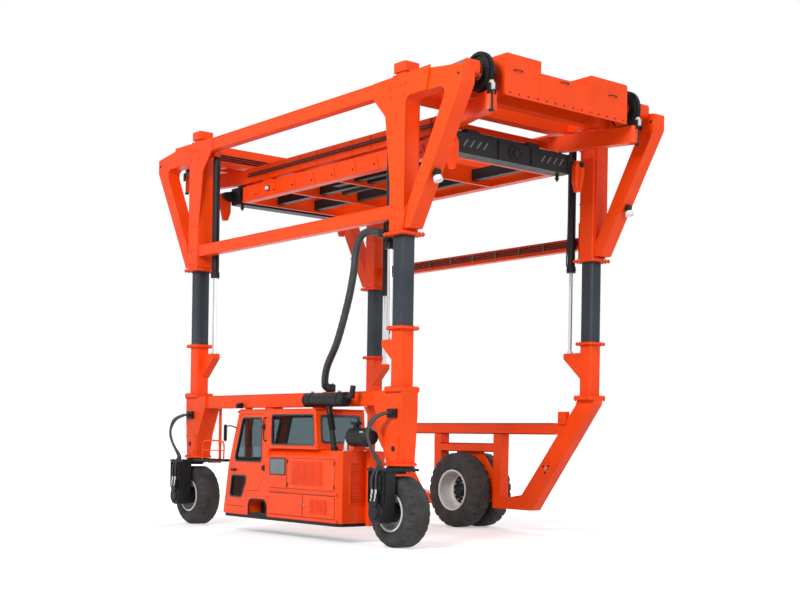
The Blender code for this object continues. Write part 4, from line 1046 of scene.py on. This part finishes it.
def end_beam_details():
    """Slots, bolts, blocks and twistlock housings on the black end beams."""
    for end, sy in ENDS.items():
        body = f"spreader_{end}"
        dark, steel, grey = Kit(), Kit(), Kit()
        face = sy * 3.12
        for k in range(8):                                # diagonal slots either side of the middle
            x = -1.02 + k * 0.135 if k < 4 else 0.615 + (k - 4) * 0.135
            lean = Matrix.Rotation(math.radians(38), 4, "Y")
            for kit, half, depth, z in ((grey, 0.012, (-0.001, 0.004), (5.95, 6.09)),
                                        (dark, 0.020, (-0.002, 0.002), (5.935, 6.105))):
                y = [face + sy * reach for reach in depth]
                kit.box((x - half, x + half), y, z, 0.0015, lean)
        for k in range(10):                               # an oval of bolts round the middle plate
            turn = 2 * math.pi * k / 10
            place = (0.115 * math.cos(turn), face + sy * 0.008, 6.015 + 0.095 * math.sin(turn))
            dark.bolt(place, (0, sy, 0), 0.014, 0.018)
        dark.rod((0, face, 6.015), (0, face + sy * 0.012, 6.015), 0.14, 36, bevel=0.003)
        dark.rod((0, face + sy * 0.01, 6.015), (0, face + sy * 0.035, 6.015), 0.05, 28, bevel=0.004)
        for x in (-1.21, 1.21):
            dark.box((x - 0.03, x + 0.03), (sy * 2.85, sy * 3.14), (5.868, 6.172), 0.006)
        for x in (-0.35, 0.35):
            dark.box((x - 0.012, x + 0.012), (face - sy * 0.002, face + sy * 0.022), (5.875, 6.155), 0.003)
        for x in (-0.82, 0.46):                           # bolted blocks on top of the beam
            dark.box((x - 0.13, x + 0.13), (sy * 2.89, sy * 3.07), (6.160, 6.250), 0.012)
            for u in (-0.09, 0.09):
                dark.bolt((x + u, sy * 2.98, 6.248), (0, 0, 1), 0.014, 0.016)
        for sx in SIDES.values():                         # twistlock housing and its drive
            x, y = sx * 1.1295, sy * 2.9265
            dark.rod((x, y, 6.165), (x, y, 6.215), 0.085, 32, 0.075, bevel=0.005)
            dark.rod((x, y, 6.21), (x, y, 6.26), 0.040, 20, bevel=0.004)
            steel.tube([Vector((x, y, 6.235)), Vector((sx * 0.62, y, 6.225))], 0.014, 12)
            for place in circle((x, y, 6.213), "Z", 0.062, 6):
                steel.bolt(place, (0, 0, 1), 0.008, 0.010)
        dark.rod((-0.60, sy * 2.9265, 6.225), (0.60, sy * 2.9265, 6.225), 0.034, 20, bevel=0.004)
        dark.piece(f"end_beam_fittings_{end}", body, "black_steel")
        steel.piece(f"twistlock_rods_{end}", body, "bright_steel")
        grey.piece(f"end_beam_slots_{end}", body, "grey_steel")


def flipper_details():
    """Boss, stiffening rib and wear tip on every corner flipper."""
    for end, sy in ENDS.items():
        for side, sx in SIDES.items():
            orange, dark = Kit(), Kit()
            x, y, z = sx * 1.38, sy * 3.22, 6.02
            dark.rod((x, y - sy * 0.002, z), (x, y + sy * 0.030, z), 0.045, 28, bevel=0.004)
            dark.bolt((x, y + sy * 0.028, z), (0, sy, 0), 0.018, 0.016)
            rib = [(sx * 1.345, 5.95), (sx * 1.375, 5.95), (sx * 1.350, 5.62), (sx * 1.325, 5.62)]
            orange.outline(rib, "XZ", (sy * 3.218, sy * 3.240), 0.003)
            dark.box((sx * 1.305, sx * 1.375), (sy * 3.145, sy * 3.215), (5.583, 5.640), 0.004)
            orange.piece(f"flipper_rib_{end}_{side}", f"flipper_{end}_{side}", "orange_paint")
            dark.piece(f"flipper_boss_{end}_{side}", f"flipper_{end}_{side}", "black_steel")


# ---------------------------------------------------------------- frames
COLLAR = 0.158                        # half the outer size of the sleeves' collars


def upper_frame_details():
    """Work lamps, stiffeners, pipes and their clips on the upper frame."""
    orange, dark, lens, grey = Kit(), Kit(), Kit(), Kit()
    for sx in SIDES.values():
        for z in (4.80, 4.98, 6.63, 6.83):                # flanges along the long beams
            orange.box((sx * 2.004, sx * 2.156), (-2.62, 2.62), (z - 0.006, z + 0.006), 0.002)
        for sy in ENDS.values():
            # lamp on the slanting brace, turned to the bay
            dark.box((sx * 1.98, sx * 2.08), (sy * 3.585, sy * 3.640), (5.33, 5.37), 0.004)
            dark.box((sx * 1.975, sx * 2.085), (sy * 3.630, sy * 3.690), (5.27, 5.40), 0.012)
            lens.rod((sx * 2.03, sy * 3.665, 5.295), (sx * 2.03, sy * 3.690, 5.225), 0.062, 28, 0.070,
                     bevel=0.006)
            # doubler plate and stiffeners on the sleeve
            orange.box((sx * 1.845, sx * 2.155), (sy * 2.745, sy * 2.741), (4.60, 5.20), 0.002)
            for z in (4.72, 5.50, 6.20):
                x, y = sx * LEG_X, sy * LEG_Y
                ring = rect((x - COLLAR, x + COLLAR), (y - COLLAR, y + COLLAR), 0.012)
                orange.frame(ring, "XY", (z - 0.010, z + 0.010), 0.009)
            # pin block of the cylinder
            dark.rod((sx * 1.885, sy * 2.50, 6.575), (sx * 2.005, sy * 2.50, 6.575), 0.030, 20, bevel=0.003)
            # round pin through the bracket's top corner
            dark.rod((sx * 1.895, sy * 4.20, 6.62), (sx * 2.145, sy * 4.20, 6.62), 0.022, 18, bevel=0.003)
        # pipes and their clips along the lower long beam
        for z in (4.86, 4.90, 4.94):
            dark.run(sx * 1.985, (-2.6, -1.2, 1.2, 2.6), z, 0.011)
        for k in range(9):
            y = -2.4 + k * 0.6
            grey.box((sx * 1.966, sx * 2.008), (y - 0.012, y + 0.012), (4.845, 4.955), 0.003)
    # crossbeams: hoses to the hoist, junction box
    for sy in ENDS.values():
        for k in range(3):
            dark.pipe([(-1.80, sy * 2.785, 6.60 + k * 0.04), (0, sy * 2.785, 6.60 + k * 0.04),
                       (1.80, sy * 2.785, 6.60 + k * 0.04)], 0.012, 8, 0.2)
        grey.box((-0.24, 0.24), (sy * 2.70, sy * 2.80), (6.58, 6.78), 0.012)
        for x in (-1.36, 1.36):
            orange.box((x - 0.075, x + 0.075), (sy * 2.99, sy * 3.01), (6.53, 6.73), 0.003)
    orange.piece("upper_frame_stiffeners", "upper_frame", "orange_paint")
    dark.piece("upper_frame_pipes", "upper_frame", "black_steel")
    lens.piece("work_lamps", "upper_frame", "lamp_lens")
    grey.piece("pipe_clips", "upper_frame", "grey_steel")


def mast_details():
    """Gland bolts and pressure pipes of the lift cylinders, and bolts at the feet of their rods."""
    steel, lifted = Kit(), Kit()
    for sx in SIDES.values():
        for sy in ENDS.values():
            x, y = sx * CYL_X, sy * CYL_Y
            gland = Vector((x, y, 4.45))
            for place in circle(gland, "Z", 0.075, 6):
                lifted.bolt(place, (place - gland).normalized(), 0.009, 0.012)
            lifted.pipe([(x, y + sy * -0.075, 4.47), (x, y - sy * 0.11, 4.60), (x, y - sy * 0.085, 5.2),
                         (x, y - sy * 0.085, 6.30), (x, y - sy * 0.06, 6.42)], 0.011, 8, 0.05)
            for place in circle((x, y, 3.085), "Z", 0.045, 4, 0.5):
                steel.bolt(place, (0, 0, 1), 0.005, 0.008)
    lifted.piece("cylinder_glands", "upper_frame", "black_steel")
    steel.piece("rod_feet", "chassis", "bright_steel")


def lower_frame_details():
    """Flange strips, sill pipes, camera, plates, pins and lamps of the two lower frames."""
    orange, dark, grey, steel, lens = Kit(), Kit(), Kit(), Kit(), Kit()
    # sill beam: top and bottom flanges, pipes on its inner side, camera on its outer side
    for z in (2.078, 2.282):
        orange.box((-2.126, -1.874), (-2.45, 2.45), (z - 0.007, z + 0.007), 0.002)
    for z in (2.13, 2.17, 2.21):
        dark.run(-1.862, (-2.5, -0.8, 0.8, 2.5), z, 0.011)
    for k in range(8):
        y = -2.2 + k * 0.63
        grey.box((-1.882, -1.850), (y - 0.012, y + 0.012), (2.115, 2.225), 0.003)
    dark.box((-2.20, -2.115), (1.20, 1.31), (2.06, 2.15), 0.012)
    dark.rod((-2.195, 1.255, 2.10), (-2.225, 1.255, 2.09), 0.030, 20, bevel=0.003)
    for sy in ENDS.values():
        # feet: doubler plate, bolts and end cap of the pin
        face = -2.152
        orange.outline([(sy * 3.02, 1.26), (sy * 2.78, 1.26), (sy * 2.70, 1.62), (sy * 3.05, 1.62)], "YZ",
                       (face - 0.008, face + 0.004), 0.002)
        for y, z in ((2.80, 1.30), (3.00, 1.30), (2.76, 1.58), (3.03, 1.58)):
            orange.bolt((face - 0.008, sy * y, z), (-1, 0, 0), 0.012, 0.014)
        dark.rod((-2.155, sy * 2.92, 1.44), (-2.170, sy * 2.92, 1.44), 0.040, 28, bevel=0.003)
        # right frame: pivot pin and bolts on the slanting leg
        for side in (-1, 1):
            x = LEG_X + side * 0.10
            steel.rod((x, sy * 2.02, 1.115), (x + side * 0.016, sy * 2.02, 1.115), 0.030, 24, bevel=0.003)
            for y, z in ((1.96, 1.15), (2.08, 1.16), (2.00, 1.04)):
                dark.bolt((x, sy * y, z), (side, 0, 0), 0.013, 0.016)
            # flange strips on the edges of the slanting leg and on the beams
            for z in (1.702, 1.883, 1.377, 1.523):
                reach = 2.2 if z > 1.6 else 0.71
                orange.box((x - 0.003, x + 0.006 * side), (-reach, reach), (z - 0.006, z + 0.006), 0.001)
        # bolts on the V brackets of the lift rods
        for sx in SIDES.values():
            for x in (1.87, 2.01):
                orange.bolt((sx * x, sy * 2.70, 2.98), (sx * (1 if x > 1.9 else -1), 0, 0), 0.012, 0.014)
    for side in (-1, 1):                                   # bolts of the axle carrier
        for place in circle((LEG_X + side * 0.045, 0, TWIN_Z), "X", 0.125, 12):
            dark.bolt(place, (side, 0, 0), 0.011, 0.012)
    # lamps low on the right frame
    for sy in ENDS.values():
        lens.rod((LEG_X, sy * 1.60, 0.47), (LEG_X, sy * 1.66, 0.45), 0.035, 20, bevel=0.003)
        dark.rod((LEG_X, sy * 1.59, 0.475), (LEG_X, sy * 1.625, 0.463), 0.045, 20, bevel=0.003)
    orange.piece("lower_frame_plates", "chassis", "orange_paint")
    dark.piece("lower_frame_pipes", "chassis", "black_steel")
    grey.piece("sill_pipe_clips", "chassis", "grey_steel")
    steel.piece("pivot_pins", "chassis", "bright_steel")
    lens.piece("frame_lamps", "chassis", "lamp_lens")


def platform():
    """Walkway and its hand rail between the cab and the front knuckle."""
    dark, orange = Kit(), Kit()
    dark.box((-2.42, -2.05), (1.34, 2.34), (1.15, 1.18), 0.004)
    for k in range(12):
        y = 1.38 + k * 0.083
        dark.box((-2.41, -2.06), (y, y + 0.018), (1.18, 1.19), 0.003)
    for y in (1.40, 2.28):
        orange.box((-2.12, -1.90), (y - 0.02, y + 0.02), (1.11, 1.15), 0.003)
        orange.box((-1.94, -1.90), (y - 0.02, y + 0.02), (1.11, 2.075), 0.003)
    rail = [(-2.39, 1.38, 1.18), (-2.39, 1.38, 1.44), (-2.39, 1.50, 1.50), (-2.39, 1.95, 1.50),
            (-2.39, 2.06, 1.44), (-2.39, 2.08, 1.18)]
    orange.pipe(rail, 0.014, 10, 0.02)
    orange.pipe([(-2.39, 1.38, 1.34), (-2.39, 1.70, 1.34), (-2.39, 2.07, 1.34)], 0.011, 10, 0.05)
    dark.piece("walkway", "chassis", "black_steel")
    orange.piece("walkway_rail", "chassis", "orange_paint")


# ---------------------------------------------------------------- umbilical hose
HOSE_R = 0.0575
HOSE_STOPS = [(-2.150, -2.56, 4.60), (-2.180, -2.33, 4.655), (-2.200, -2.13, 4.60), (-2.215, -2.03, 4.38),
              (-2.220, -1.98, 4.05), (-2.215, -1.84, 3.62), (-2.200, -1.57, 3.06), (-2.170, -1.27, 2.68),
              (-2.120, -1.15, 2.42), (-2.060, -1.15, 2.352)]
WRAP_PITCH = 0.045


def umbilical():
    """Hoses inside one spiral wrap, from the sill beam up to the upper frame."""
    route = smooth_route(HOSE_STOPS, 0.0075)

    def wrap(length):
        return HOSE_R * (0.90 + 0.10 * abs(math.sin(math.pi * length / WRAP_PITCH)) ** 0.6)

    hose = Kit().tube(route, wrap, 24).piece("umbilical_wrap", None, "hose_rubber", 60)
    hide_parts("umbilical_hose")
    length = sum((b - a).length for a, b in zip(route, route[1:]))
    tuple(route[0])
    [list(point) for point in route]
    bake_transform(hose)
    # clamps at both ends
    low, high = Kit(), Kit()
    low.box((-2.10, -1.99), (-1.235, -1.065), (2.289, 2.300), 0.003)
    low.box((-2.06, -1.96), (-1.225, -1.075), (2.300, 2.420), 0.010)
    for y in (-1.20, -1.10):
        low.bolt((-2.01, y, 2.420), (0, 0, 1), 0.012, 0.016)
    high.rod((-2.150, -2.54, 4.605), (-2.135, -2.66, 4.59), 0.066, 28, bevel=0.006)
    high.box((-2.15, -2.06), (-2.70, -2.60), (4.53, 4.66), 0.008)
    high.piece("umbilical_top_clamp", "upper_frame", "black_steel")
    low.piece("umbilical_low_clamp", "chassis", "black_steel")

# ---------------------------------------------------------------- the pieces
flange_bolts()
bracket_bolts()
wheels()
knuckle_details()
steering_hoses()
panes()
door_details()
cab_details()
seat()
hood_details()
exhaust_details()
air_cleaner_details()
hoist_details()
chains()
hoist_cover_details()
spreader_details()
end_beam_details()
flipper_details()
upper_frame_details()
mast_details()
lower_frame_details()
platform()
umbilical()


# ---------------------------------------------------------------- camera, light and floor
def camera():
    """The camera stands low at the machine's rear left, level, and looks up by its shift."""
    yaw, roll = math.radians(39.07), math.radians(0.87)
    right = Vector((math.cos(yaw), -math.sin(yaw), 0))
    ahead = Vector((math.sin(yaw), math.cos(yaw), 0))
    up = Vector((0, 0, 1))
    tilted_right = math.cos(roll) * right + math.sin(roll) * up
    tilted_up = -math.sin(roll) * right + math.cos(roll) * up
    data = bpy.data.cameras.new("camera")
    data.sensor_width = 36
    data.lens = 58.12
    data.shift_y = 0.1734
    data.clip_end = 400
    made = bpy.data.objects.new("camera", data)
    bpy.context.scene.collection.objects.link(made)
    place = Matrix((tilted_right, tilted_up, -ahead)).transposed().to_4x4()
    place.translation = (-13.875, -17.505, 1.586)
    made.matrix_world = place
    bpy.context.scene.camera = made


def area_light(name, place, target, size, watts):
    data = bpy.data.lights.new(name, "AREA")
    data.shape = "DISK"
    data.size = size
    data.energy = watts
    made = bpy.data.objects.new(name, data)
    bpy.context.scene.collection.objects.link(made)
    way = Vector(target) - Vector(place)
    made.matrix_world = Matrix.Translation(place) @ way.to_track_quat("-Z", "Y").to_matrix().to_4x4()


def seen_directly(nodes, links):
    """1 for rays from the camera, from glossy surfaces and through glass, 0 for diffuse light."""
    ray = nodes.new("ShaderNodeLightPath")
    total = ray.outputs["Is Camera Ray"]
    for name in ("Is Glossy Ray", "Is Transmission Ray"):
        larger = nodes.new("ShaderNodeMath")
        larger.operation = "MAXIMUM"
        links.new(total, larger.inputs[0])
        links.new(ray.outputs[name], larger.inputs[1])
        total = larger.outputs[0]
    return total


FLOOR_SEEN = (0.40, 1.0)    # plain white in what the camera sees of the floor, near and far
FLOOR_NEAR = (6.0, 14.0)    # distances from the machine's middle at which these hold
WORLD_LIGHT = 0.42


def floor():
    """A pale floor that keeps its shadows and reads as white to the camera."""
    made, nodes, links, shader = node_material("floor")
    shader.inputs["Roughness"].default_value = 0.9
    grain = object_noise(nodes, links, 3.0, 4)
    pale = ramp(nodes, links, grain, (0.79, 0.79, 0.79), (0.81, 0.81, 0.81))
    links.new(pale, shader.inputs["Base Color"])
    place = nodes.new("ShaderNodeTexCoord")
    away = nodes.new("ShaderNodeVectorMath")
    away.operation = "LENGTH"
    links.new(place.outputs["Object"], away.inputs[0])
    fade = nodes.new("ShaderNodeMapRange")
    for name, value in zip(("From Min", "From Max", "To Min", "To Max"), (*FLOOR_NEAR, *FLOOR_SEEN)):
        fade.inputs[name].default_value = value
    links.new(away.outputs["Value"], fade.inputs["Value"])
    white = nodes.new("ShaderNodeEmission")
    links.new(fade.outputs["Result"], white.inputs["Strength"])
    add = nodes.new("ShaderNodeAddShader")
    links.new(shader.outputs["BSDF"], add.inputs[0])
    links.new(white.outputs["Emission"], add.inputs[1])
    mix = nodes.new("ShaderNodeMixShader")
    links.new(seen_directly(nodes, links), mix.inputs["Fac"])
    links.new(shader.outputs["BSDF"], mix.inputs[1])
    links.new(add.outputs["Shader"], mix.inputs[2])
    links.new(mix.outputs["Shader"], nodes["Material Output"].inputs["Surface"])
    mesh = bpy.data.meshes.new("floor")
    shape = bmesh.new()
    bmesh.ops.create_grid(shape, x_segments=1, y_segments=1, size=150)
    shape.to_mesh(mesh)
    shape.free()
    mesh.materials.append(made)
    ground = bpy.data.objects.new("floor", mesh)
    bpy.context.scene.collection.objects.link(ground)
    ground.location.z = -0.001


def world():
    """White to the camera, softer as a light."""
    made = bpy.data.worlds.new("studio")
    made.use_nodes = True
    bpy.context.scene.world = made
    nodes, links = made.node_tree.nodes, made.node_tree.links
    back = nodes["Background"]
    back.inputs["Color"].default_value = (1, 1, 1, 1)
    strength = nodes.new("ShaderNodeMapRange")
    strength.inputs["To Min"].default_value = WORLD_LIGHT
    strength.inputs["To Max"].default_value = 1.0
    links.new(seen_directly(nodes, links), strength.inputs["Value"])
    links.new(strength.outputs["Result"], back.inputs["Strength"])


camera()
area_light("key", (-17, -8, 12), (0, 0, 3), 7, 3000)
area_light("fill", (3, -19, 9), (0, 0, 3), 9, 900)
area_light("rim", (12, 12, 14), (0, 0, 3), 8, 1100)
floor()
world()
bpy.context.scene.view_settings.view_transform = "Standard"
